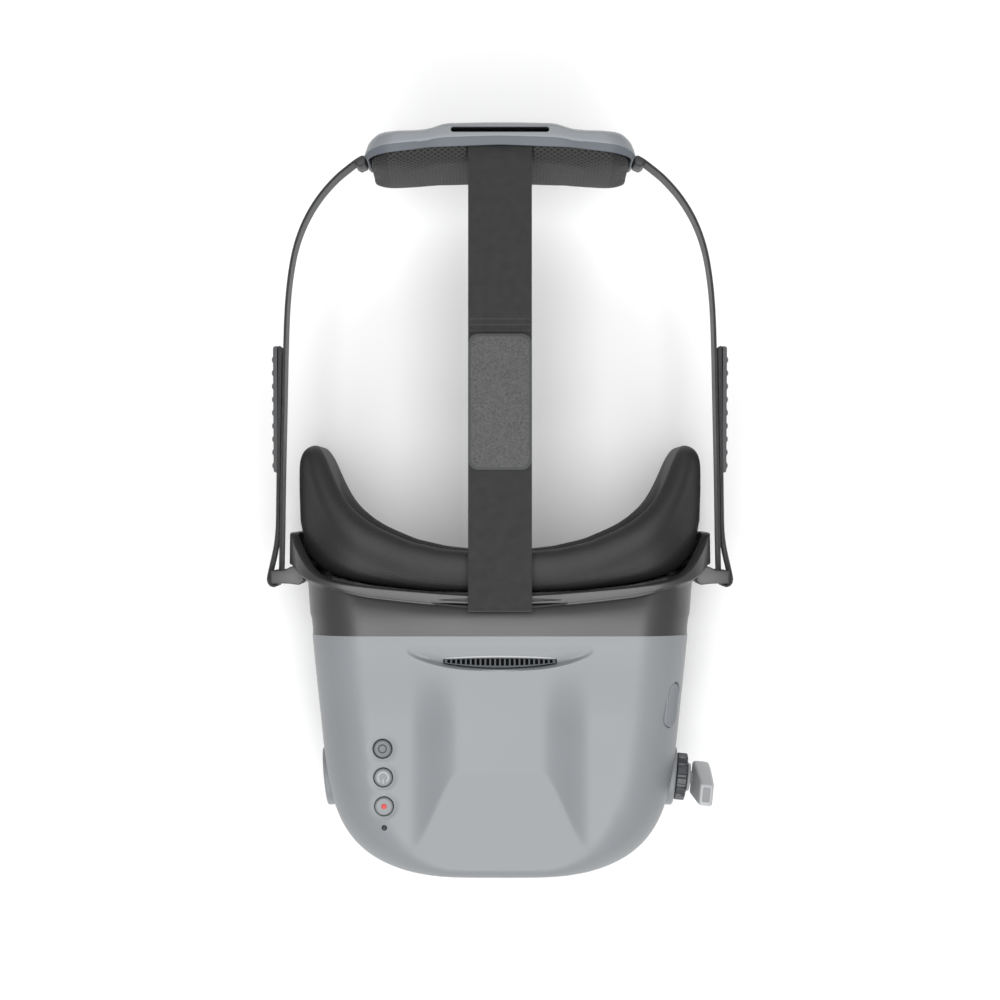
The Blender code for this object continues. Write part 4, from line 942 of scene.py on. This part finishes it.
for k in range(60):
    wave = math.sin(math.radians(6 * k))
    x, y = SLIT_HALF * math.cos(math.radians(6 * k)), 1.05 * wave * abs(wave) ** 0.6
    if k % 30:
        slit.append((x, y if abs(y) > 0.04 else math.copysign(0.04, y)))
slab(gaps, slit, ((0, 101.3), (0, 112)), Matrix.Translation((0, -45.2, 0)))
for side in (-1, 1):
    ends = sorted((side * 99.0, side * 103.4))
    block(gaps, (ends[0], -45, 59.0), (ends[1], -25, 80.0), 0)
for x in (-58, -20, 20, 58):
    rod(gaps, 1.5, -2, 6, Matrix.Translation((x, SCREW_Y, 0)), 20)
carve(face_frame, gaps)
tunnel = bmesh.new()
block(tunnel, (-15.6, -56, 101.3), (15.6, -46.0, 103.6), 0)
carve(face_frame, tunnel)
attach(face_frame, "headset")
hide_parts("face_frame")


# The face foam: one soft black pad that meets the face, cut from fine dense foam with rounded edges.
# It clips into the frame on its carrier and its two horns curve back beside the temples.
FACE_LINE = ((0, -23.4), (14.4, -23.2), (26.1, -22.2), (40.3, -19.0), (54.5, -12.9), (61.6, -8.6),
             (68.7, -2.3), (73.0, 4.1), (77.3, 13.4), (80.1, 21.2), (82.3, 24.7), (84.7, 25.5))


def foam_group():
    """Fine open cells: a bump and a colour mask."""
    group, entry, leave = new_group("fine foam", {"Cell Scale": 1400.0, "Cell Depth": 0.35},
                                    {"Shade": VALUE, "Normal": VECTOR})
    place = object_place(group)
    cells = add(group, "TexVoronoi", {"Vector": place, "Scale": entry["Cell Scale"]})["Distance"]
    feed(group, leave, {"Shade": maths(group, "MULTIPLY_ADD", cells, 0.35, noise(group, place, 45.0, 5.0)),
                        "Normal": bumped(group, cells, entry["Cell Depth"], 0.0003)})
    return group


FOAM_CELLS = foam_group()


def foam_paint(name, dark, light, sheen):
    """Soft matt foam with fine cells."""
    finish, tree, shader = new_finish(name)
    cells = add(tree, "Group", {"Cell Scale": 1500.0, "Cell Depth": 0.3}, node_tree=FOAM_CELLS)
    feed(tree, shader, {"Base Color": blended(tree, cells["Shade"], dark, light), "Roughness": 0.6,
                        "Sheen Weight": sheen, "Sheen Roughness": 0.5, "Normal": cells["Normal"]})
    return finish


def foam_seat(x):
    """Line where the foam meets its carrier."""
    return min(eased(RIM_FRONT, x) + 5.0, eased(RIM_REAR, x) + 1.5)


def foam_line(outer, back):
    """Line of the foam face, scaled to a ring's half-width and moved back."""
    return lambda x: eased(FACE_LINE, x * 84.7 / outer, 2.0) - back


FOAM_ROWS = [
    (92.9, 3.4, 99.9, 26, 17, foam_seat, True),
    (93.1, 3.2, 100.2, 26.5, 17.5,
     lambda x: max(eased(RIM_REAR, x) - 0.4, eased(FACE_LINE, x * 84.7 / 93.1, 2.0) - 16), True),
    (93.0, 3.2, 103.0, 28, 18,
     lambda x: max(eased(RIM_REAR, x) + 1.0, eased(FACE_LINE, x * 84.7 / 93.0, 2.0) - 11), True),
    (92.7, 3.4, 103.7, 28.2, 18.1, foam_line(92.7, 7.2), True),
    (91.6, 4.3, 103.6, 28, 18, foam_line(91.6, 3.9), True),
    (90.2, 5.4, 102.8, 27.6, 18, foam_line(90.2, 2.1), True),
    (88.5, 7.0, 101.5, 27, 18, foam_line(88.5, 0.9), True),
    (86.7, 8.7, 99.9, 26, 17.5, foam_line(86.7, 0.2), True),
    (84.7, 10.5, 98.0, 25, 17, foam_line(84.7, 0.0), True),
    (82.5, 12.5, 95.8, 24, 16.5, foam_line(84.7, 0.35), True),
    (80.5, 14.5, 93.5, 23, 16, foam_line(84.7, 1.3), True),
    (78.4, 16.6, 91.5, 22, 15.5, foam_line(84.7, 3.0), True),
    (76.5, 18.5, 90.0, 21, 15, foam_line(84.7, 5.5), True),
    (75.0, 20.0, 88.5, 20, 14, lambda x: (eased(FACE_LINE, x, 2.0) + foam_seat(x)) / 2, True),
    (76.0, 19.0, 89.5, 20, 14, foam_seat, True),
    (92.9, 3.4, 99.9, 26, 17, foam_seat, True),
]
foam_shape = bmesh.new()
bent_grid(foam_shape, 200, len(FOAM_ROWS) - 1, hoop(FOAM_ROWS))
FOAM_BLACK = foam_paint("face foam black", tone(12, 12, 13), tone(29, 29, 30), 0.01)
foam = piece_of("foam_face", foam_shape, FOAM_BLACK, 60)
round_over = foam.modifiers.new("round over", "SUBSURF")
round_over.levels = 1
round_over.render_levels = 1
settle(foam, 60)
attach(foam, "face_pad")
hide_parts("face_foam")


# The top strap: a flat black webbing band sewn to the rear cradle. It runs forward, turns under the
# bar of the face frame and comes back over itself, where a hook patch holds it at any length.
def weave_group():
    """Woven threads on a strap's own map: a thread height and a normal."""
    group, entry, leave = new_group(
        "webbing weave", {"Length": 200.0, "Width": 28.0, "Pitch Along": 1.1, "Pitch Across": 0.7, "Depth": 0.5},
        {"Threads": VALUE, "Normal": VECTOR})
    place = add(group, "UVMap", {}, uv_map="UVMap")["UV"]
    split = add(group, "SeparateXYZ", {"Vector": place})
    along = maths(group, "DIVIDE", maths(group, "MULTIPLY", split["X"], entry["Length"]), entry["Pitch Along"])
    across = maths(group, "DIVIDE", maths(group, "MULTIPLY", split["Y"], entry["Width"]), entry["Pitch Across"])
    parity = maths(group, "MULTIPLY", maths(group, "MODULO", maths(group, "FLOOR", across), 2.0), 0.5)
    wave = maths(group, "SINE", maths(group, "MULTIPLY", maths(group, "ADD", along, parity), math.pi))
    row = maths(group, "SINE", maths(group, "MULTIPLY", across, math.pi))
    thread = maths(group, "MULTIPLY", maths(group, "POWER", maths(group, "ABSOLUTE", wave), 0.6),
                   maths(group, "POWER", maths(group, "ABSOLUTE", row), 0.5))
    feed(group, leave, {"Threads": thread, "Normal": bumped(group, thread, entry["Depth"], 0.0003)})
    return group


WEAVE = weave_group()


def webbing(name, dark, light, length, width):
    """Woven webbing with the thread size set for one strap; its colour follows the thread height, with painted shade
    between the threads and faint clouds over the crowns.
    """
    finish, tree, shader = new_finish(name)
    threads = add(tree, "Group", {"Length": length, "Width": width, "Pitch Along": 1.0, "Pitch Across": 0.75,
                                  "Depth": 0.35}, node_tree=WEAVE)
    # Colour from thread height: painted shade in the gaps between threads, times faint noise clouds on the crowns.
    gap_shade_and_clouds = maths(tree, "MULTIPLY", threads["Threads"], noise(tree, object_place(tree), 260.0, 5.0))
    feed(tree, shader, {"Base Color": blended(tree, gap_shade_and_clouds, dark, light), "Roughness": 0.82, "Sheen Weight": 0.2,
                        "Sheen Roughness": 0.4, "Normal": threads["Normal"]})
    return finish


def softened(path):
    """A path whose corners are cut twice into a smooth run."""
    for _ in range(2):
        fresh = [path[0]]
        for a, b in zip(path, path[1:]):
            fresh += [tuple(a[k] * 0.75 + b[k] * 0.25 for k in range(len(a))),
                      tuple(a[k] * 0.25 + b[k] * 0.75 for k in range(len(a)))]
        path = fresh + [path[-1]]
    return path


def measured(path):
    """Length reached at each point of a path."""
    far = [0.0]
    for a, b in zip(path, path[1:]):
        far.append(far[-1] + (Vector(b) - Vector(a)).length)
    return far


def along_path(path, far, share):
    """The point at a share of a path's length."""
    want = min(max(share, 0.0), 1.0) * far[-1]
    i = next((k for k in range(len(far) - 1) if far[k + 1] >= want), len(far) - 2)
    t = (want - far[i]) / max(1e-9, far[i + 1] - far[i])
    return Vector(path[i]).lerp(Vector(path[i + 1]), t)


STRAP_THICK = 1.15


def band(name, path, across, width, finish):
    """A flat strap along a path with its own map, solid, with softly rounded selvedges."""
    far = measured(path)
    bm = bmesh.new()
    bm.loops.layers.uv.new("UVMap")
    made = bmesh.ops.create_grid(bm, x_segments=int(far[-1] / 1.5), y_segments=10, size=0.5, calc_uvs=True)
    for vert in made["verts"]:
        vert.co = across(along_path(path, far, vert.co.x + 0.5), vert.co.y * width)
    bmesh.ops.recalc_face_normals(bm, faces=bm.faces)
    strap = piece_of(name, bm, finish)
    thick = strap.modifiers.new("thickness", "SOLIDIFY")
    thick.thickness = STRAP_THICK * MM
    thick.offset = 0.0
    edge = strap.modifiers.new("selvedge", "BEVEL")
    edge.width = STRAP_THICK * 0.3 * MM
    edge.segments = 2
    edge.limit_method = "ANGLE"
    edge.angle_limit = math.radians(60)
    settle(strap, 50)
    return strap


TOP_WIDTH = 28.8
TOP_PATH = [(162.5, 89.0), (162.5, 97.0), (162.3, 100.5), (161.4, 102.8), (159.6, 104.7), (157.0, 106.2),
            (153.5, 107.1), (149, 107.3), (140, 107.3), (120, 107.3), (60, 107.3), (0, 107.3), (-41.5, 107.3),
            (-43.8, 107.1), (-45.0, 106.2), (-45.6, 104.8), (-45.75, 103.5), (-46.3, 102.75), (-47.4, 102.5),
            (-48.6, 102.5), (-49.4, 102.9), (-50.0, 103.9), (-50.05, 105.2), (-49.75, 106.9), (-49.0, 108.0),
            (-47.7, 108.65), (-46, 108.8), (0, 108.8), (74.5, 108.8)]
top_path = softened(TOP_PATH)
top_web = webbing("top strap webbing", tone(24, 24, 25), tone(59, 59, 60), measured(top_path)[-1], TOP_WIDTH)
top_strap = band("band_top", top_path, lambda p, w: Vector((w, p.x, p.y)), TOP_WIDTH, top_web)
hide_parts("top_strap")
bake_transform(top_strap)


# The hook patch on the top strap: a grey felted tab with rounded corners, welded round its border
# and pressed onto the strap where the returning end stops.
def felt(name, dark, light):
    """Felted fibres: short tangled strokes over a fine pile."""
    finish, tree, shader = new_finish(name)
    place = object_place(tree)
    strokes = []
    for turn, stretch in ((38.0, (1.0, 3.2, 1.0)), (-41.0, (3.2, 1.0, 1.0))):
        lay = {"Vector": place, "Rotation": (0, 0, math.radians(turn)), "Scale": stretch}
        strokes.append(noise(tree, add(tree, "Mapping", lay)["Vector"], 800.0, 3.0))
    most = maths(tree, "MAXIMUM", *strokes)
    pile = add(tree, "MapRange", {"Value": most, "From Min": 0.36, "From Max": 0.84})["Result"]
    feed(tree, shader, {"Base Color": blended(tree, pile, dark, light), "Roughness": 0.9, "Sheen Weight": 0.25,
                        "Normal": bumped(tree, pile, 0.5, 0.0004)})
    return finish


PATCH_FELT = felt("hook patch felt", tone(58, 58, 59), tone(104, 104, 105))
PATCH_EDGE = moulded("hook patch welded edge", tone(62, 63, 64), 0.7, 0.0006, 0.3)
patch_shape = bmesh.new()
slab(patch_shape, rounded(14.4, 30.7, 4.6, 8),
     ((0.15, 109.5), (0, 109.6), (0, 109.95), (0.25, 110.1), (0.9, 110.05), (1.25, 110.2), (1.9, 110.42)),
     Matrix.Translation((0, 44.3, 0)))
patch = piece_of("patch_top", patch_shape, PATCH_EDGE, 50)
patch.data.materials.append(PATCH_FELT)
for poly in patch.data.polygons:
    if poly.center.z > 0.1103:
        poly.material_index = 1
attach(patch, "headset")
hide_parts("top_strap_tab")
thread_row = bmesh.new()
for y in (76.6, 79.2, 81.8):
    for k in range(19):
        x = -13.2 + 26.4 * k / 18
        block(thread_row, (x - 0.5, y - 0.13, 107.8), (x + 0.5, y + 0.13, 108.05), 0.08, segments=1)
STRAP_THREAD = moulded("strap thread", tone(78, 78, 80), 0.7, 0.0003, 0.3)
stitches = piece_of("stitches_top", thread_row, STRAP_THREAD)
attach(stitches, "headset")


# The side straps: narrower black webbing, one on each side, from a clip on the cradle round a bar in
# the frame's lug and back outside itself, with a ribbed grip tab at its free end.
SIDE_WIDTH = 20.0
SIDE_PATH = [(63.0, 158.0), (65.2, 156.9), (67.4, 155.4), (70.6, 152.9), (75.8, 148.7), (83.3, 140.3),
             (89.6, 130.2), (94.0, 119.2), (96.5, 108.1), (98.3, 93.7), (99.2, 77), (100.0, 45), (100.9, 10),
             (101.3, -14), (101.6, -30), (101.9, -37.0), (102.7, -39.1), (104.6, -40.0), (106.5, -39.3),
             (107.35, -37.3), (107.2, -35.5), (106.3, -31.5), (105.0, -26), (103.8, -20), (103.2, -14),
             (103.0, -8), (102.8, 6), (102.4, 30), (101.6, 71)]
TAB_RUBBER = moulded("grip tab grey", tone(66, 67, 69), 0.62, 0.0005, 0.25)


def strap_low(y):
    """Lower edge of a side strap at a given length."""
    return 59.5 + 7.5 * step(-30, 150, y)


side_path = softened(SIDE_PATH)
side_web = webbing("side strap webbing", tone(28, 28, 29), tone(66, 66, 68), measured(side_path)[-1], SIDE_WIDTH)
for side, label in ((-1, "left"), (1, "right")):
    side_strap = band("band_" + label, side_path,
                      lambda p, w, s=side: Vector((s * p.x, p.y, strap_low(p.y) + SIDE_WIDTH / 2 + w)),
                      SIDE_WIDTH, side_web)
    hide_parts("side_strap_" + label)
    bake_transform(side_strap)
    grip = bmesh.new()
    ribs = [(103.2, 12.6)]
    for k in range(77):
        rib = 0.62 * max(0.0, math.sin(math.pi * (k - 2) / 4)) ** 0.7 if 2 <= k <= 74 else 0.0
        ribs.append((104.65 + rib - (0.35 if k in (0, 76) else 0.0), 12.9 + 57.8 * k / 76))
    ribs += [(102.75 + 0.35 * (71.0 - y) / 58.4, y) for y in (71.0, 52.0, 33.0)]
    base = grip.faces.new([grip.verts.new((side * x, y, strap_low(y) + 0.4)) for x, y in ribs])
    for rise, less in ((0.5, 0.0), (18.7, 0.0), (19.2, 0.35)):
        base = bmesh.ops.extrude_discrete_faces(grip, faces=[base])["faces"][0]
        for vert in base.verts:
            vert.co.z = strap_low(vert.co.y) + 0.4 + rise
            if less and abs(vert.co.x) > 104:
                vert.co.x -= side * less
    close(grip)
    tab = piece_of("grip_" + label, grip, TAB_RUBBER, 50)
    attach(tab, "headset")
    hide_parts("side_tab_" + label)


# The rear cradle shell: a hollow light-grey moulding that curves round the back of the head. A crease
# divides its top from the band above the cushion, and a raised middle holds the strap slot.
CRADLE_PAINT = moulded("cradle satin grey", tone(128, 132, 136), 0.4, 0.0004, 0.12)
CRADLE_LOW = 46.0
CRADLE_HIGH = 108.0
CRADLE_FRONT = ((0, 161.4), (31.6, 160.2), (46.3, 158.3), (55.4, 157.0), (61.8, 155.7))
CRADLE_BACK = ((0, 169.9), (7.4, 169.9), (23.5, 169.6), (26.8, 169.0), (31.6, 167.3), (35.9, 166.4),
               (46.3, 166.2), (53.0, 165.5), (55.7, 164.5), (59.3, 161.4), (60.8, 159.8), (61.8, 156.4))


def cradle_front(x, z):
    """Front edge of the shell, which leans forward towards the bottom, less so at the ends."""
    lean = 9.3 - 7.0 * step(40, 57, abs(x))
    return eased(CRADLE_FRONT, x) - lean * (CRADLE_HIGH - z) / (CRADLE_HIGH - CRADLE_LOW)


def cradle_back(x, z):
    """Rear face of the shell."""
    k = min(1.0, max(0.0, (z - CRADLE_LOW) / (CRADLE_HIGH - CRADLE_LOW)))
    return eased(CRADLE_BACK, x, 1.2) + 4.9 * math.sin(math.pi * k) - 2.5 * (1 - k)


def cradle_between(share, less):
    """A line between the front and the rear of the shell."""
    return lambda x, z: cradle_front(x, z) + share * (cradle_back(x, z) - cradle_front(x, z)) - less


def cradle_section(half_w, inset, share):
    """A point (x, z) on the outline of the cradle; share runs once round from bottom centre."""
    low, high = CRADLE_LOW + inset, CRADLE_HIGH - inset
    r = min(max(1.5, 14 - inset * 0.5), (high - low) / 2)
    return hoop_section(half_w, low, high, r, r, share)


def cradle_hoop(rows):
    """A place function over rings; each row is (half_w, inset, y_of_x_and_z)."""
    def place(u, v):
        half_w, inset, y_of = rows[round(v * (len(rows) - 1))]
        x, z = cradle_section(half_w, inset, u)
        return Vector((x, y_of(x, z), z))
    return place


CRADLE_ROWS = [(half_w, inset, cradle_between(share, less)) for half_w, inset, share, less in (
    (8, 31.0, 1.0, 2.2), (18, 28.5, 1.0, 2.2), (30, 24.5, 1.0, 2.2), (40, 18.5, 1.0, 2.2), (48, 12.5, 1.0, 2.2),
    (53, 7.5, 1.0, 2.3), (57.0, 4.2, 0.9, 2.0), (58.9, 3.6, 0.5, 0.6), (59.9, 3.2, 0.02, 0), (60.3, 2.7, -0.02, 0),
    (60.7, 2.2, -0.01, 0), (61.0, 1.8, 0.05, 0), (61.7, 0.35, 0.34, 0), (61.85, 0.08, 0.38, 0),
    (61.95, 0.0, 0.46, 0), (61.1, 0.35, 0.78, 0), (60.1, 0.8, 0.92, 0), (58.6, 1.7, 0.98, 0), (56.6, 3.2, 1.0, 0),
    (53, 6.0, 1.0, 0), (48, 10, 1.0, 0), (42, 15, 1.0, 0), (34, 21, 1.0, 0), (25, 26, 1.0, 0), (15, 29.5, 1.0, 0),
    (8, 31.0, 1.0, 0))]
BAND_SHARE = 0.36
POST_X = 42
POST_Z = 77
shell_shape = bmesh.new()
bent_grid(shell_shape, 200, len(CRADLE_ROWS) - 1, cradle_hoop(CRADLE_ROWS))
for face in shell_shape.faces:
    centre = face.calc_center_median()
    ahead = centre.y - cradle_front(centre.x, centre.z)
    if ahead < BAND_SHARE * (cradle_back(centre.x, centre.z) - cradle_front(centre.x, centre.z)):
        face.material_index = 1
shell = piece_of("shell_cradle", shell_shape, CRADLE_PAINT, 24)
shell.data.materials.append(moulded("cradle band blue grey", tone(92, 98, 105), 0.45, 0.0004, 0.12))
posts = bmesh.new()
back_up = Matrix.Rotation(math.radians(-90), 4, "X")
for side in (-1, 1):
    rod(posts, 3.2, 160.6, 169.0, Matrix.Translation((side * POST_X, 0, POST_Z)) @ back_up, 32)
carve(shell, posts, "UNION")
cuts = bmesh.new()
slab(cuts, stadium(22.3, 1.25, 6), ((0, 100), (0, 112)), Matrix.Translation((0, 167.5, 0)))
block(cuts, (-16.0, 155, 99), (16.0, 164.0, 105.2), 0)
for side in (-1, 1):
    rod(cuts, 1.5, 154, 164, Matrix.Translation((side * POST_X, 0, POST_Z)) @ back_up, 24)
carve(shell, cuts)
smooth(shell, 24)
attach(shell, "cradle")
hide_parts("cradle_shell")


# The cradle cushion: soft foam under perforated mesh fabric, with plain dark ends, stretched over the
# inner plate and closed behind it. The swelling comes from air pressure inside the cloth.
def punched_group():
    """Rows of small holes, each second row moved by half a pitch: a mask and a normal."""
    group, entry, leave = new_group("punched mesh", {"Pitch": 0.0031, "Hole": 0.26},
                                    {"Holes": VALUE, "Normal": VECTOR})
    split = add(group, "SeparateXYZ", {"Vector": object_place(group)})
    slope = maths(group, "ADD", split["Z"], split["Y"])
    masks = []
    for shift in (0.0, 0.5):
        squares = []
        for far in (split["X"], slope):
            cell = maths(group, "ADD", maths(group, "DIVIDE", far, entry["Pitch"]), shift)
            off = maths(group, "SUBTRACT", maths(group, "FRACT", cell), 0.5)
            squares.append(maths(group, "MULTIPLY", off, off))
        near = maths(group, "SQRT", maths(group, "ADD", *squares))
        masks.append(maths(group, "SUBTRACT", 1.0, maths(group, "DIVIDE", near, entry["Hole"])))
    most = maths(group, "MAXIMUM", *masks)
    hole = add(group, "MapRange", {"Value": most, "From Max": 0.45})["Result"]
    feed(group, leave, {"Holes": hole, "Normal": bumped(group, hole, 0.6, 0.0006, invert=True)})
    return group


def mesh_fabric(name, cloth, bright, hole_tone, plain_tone, plain_from):
    """Perforated mesh that turns to plain dark fabric at the ends."""
    finish, tree, shader = new_finish(name)
    holes = add(tree, "Group", {"Pitch": 0.0031, "Hole": 0.27}, node_tree=punched_group())
    place = object_place(tree)
    far = maths(tree, "ABSOLUTE", add(tree, "SeparateXYZ", {"Vector": place})["X"])
    plain = add(tree, "MapRange", {"Value": far, "From Min": plain_from, "From Max": plain_from + 0.0012})["Result"]
    ground = blended(tree, noise(tree, place, 1500.0, 3.0), cloth, bright)
    punched = blended(tree, holes["Holes"], ground, hole_tone)
    feed(tree, shader, {"Base Color": blended(tree, plain, punched, plain_tone), "Roughness": 0.8,
                        "Sheen Weight": 0.08, "Normal": holes["Normal"]})
    return finish


def cushion_line(shift):
    """A line that follows the front of the shell."""
    return lambda x, z: eased(CRADLE_FRONT, x) - 8.5 * (CRADLE_HIGH - z) / (CRADLE_HIGH - CRADLE_LOW) + shift


CUSHION_ROWS = [(half_w, inset, cushion_line(shift)) for half_w, inset, shift in (
    (8, 31.0, 2.2), (20, 27.0, 2.2), (34, 18.0, 2.2), (46, 10.0, 2.2), (56.0, 4.6, 2.1), (58.0, 4.0, 1.4),
    (58.9, 3.6, 0.2), (59.2, 3.6, -1.0), (58.6, 4.3, -2.4), (56.8, 6.0, -3.5), (54.0, 8.4, -4.1),
    (50.0, 11.5, -4.4), (44.0, 16.0, -4.7), (36.0, 21.5, -4.9), (26.0, 26.5, -5.0), (16.0, 29.5, -5.0),
    (8, 31.0, -5.0))]
pad_shape = bmesh.new()
bent_grid(pad_shape, 120, len(CUSHION_ROWS) - 1, cradle_hoop(CUSHION_ROWS))
CUSHION_CLOTH = mesh_fabric("cushion mesh fabric", tone(36, 36, 36), tone(62, 61, 60), tone(12, 12, 12),
                            tone(30, 30, 31), 0.0505)
cushion = piece_of("cushion_cradle", pad_shape, CUSHION_CLOTH, 80)
notch = bmesh.new()
block(notch, (-15.8, 160.9, 87), (15.8, 172, 100.2), 0)
block(notch, (-15.2, 153.5, 100.2), (15.2, 172, 112), 0)
for side in (-1, 1):
    rod(notch, 2.9, 152.5, 158.2, Matrix.Translation((side * POST_X, 0, POST_Z)) @ back_up, 24)
SWELL_MOST = 0.0012
fine = cushion.modifiers.new("even cloth", "REMESH")
fine.mode = "VOXEL"
fine.voxel_size = 0.002
settle(cushion, 80)
start = [vert.co.copy() for vert in cushion.data.vertices]
cloth = cushion.modifiers.new("pressure", "CLOTH")
cloth.settings.use_pressure = True
cloth.settings.uniform_pressure_force = 4.0
cloth.settings.effector_weights.gravity = 0.0
cloth.settings.quality = 5
cloth.point_cache.frame_start = 1
cloth.point_cache.frame_end = 12
for number in range(1, 13):
    bpy.context.scene.frame_set(number)
settle(cushion, 80)
bpy.context.scene.frame_set(1)
for vert, rest in zip(cushion.data.vertices, start):
    move = vert.co - rest
    if move.length > SWELL_MOST:
        vert.co = rest + move.normalized() * SWELL_MOST
finer = cushion.modifiers.new("finer", "SUBSURF")
finer.levels = 1
finer.render_levels = 1
settle(cushion, 80)
carve(cushion, notch)
smooth(cushion, 80)
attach(cushion, "cradle")
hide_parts("cradle_cushion")


# The strap clips: a dark moulded clip on each end of the cradle. A groove in it holds the sewn end of
# a side strap, and its edges are rounded so that they do not catch.
for side, label in ((-1, "left"), (1, "right")):
    clip_shape = bmesh.new()
    low = strap_low(156) - 2.0
    edge = [(61.6, 154.2), (64.6, 152.9), (66.8, 154.3), (66.0, 156.5), (63.4, 158.2), (61.6, 157.8)]
    slab(clip_shape, [(side * x, y) for x, y in edge], ((0, low), (0, low + 24.0)))
    bevelled(clip_shape, list(clip_shape.edges), 0.7, 3)
    clip = piece_of("clip_" + label, clip_shape, BLACK_PLASTIC, 50)
    run = Vector((75.8 - 67.4, 148.7 - 155.4)).normalized()
    off = Vector((-run.y, run.x)) * 0.95
    start = Vector((67.4, 155.4)) - run * 0.5
    groove = bmesh.new()
    corners = (start + off, start + run * 9 + off, start + run * 9 - off, start - off)
    slab(groove, [(side * p.x, p.y) for p in corners], ((0, low + 1.6), (0, low + 22.4)))
    carve(clip, groove)
    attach(clip, "cradle")
    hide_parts("strap_clip_" + label)
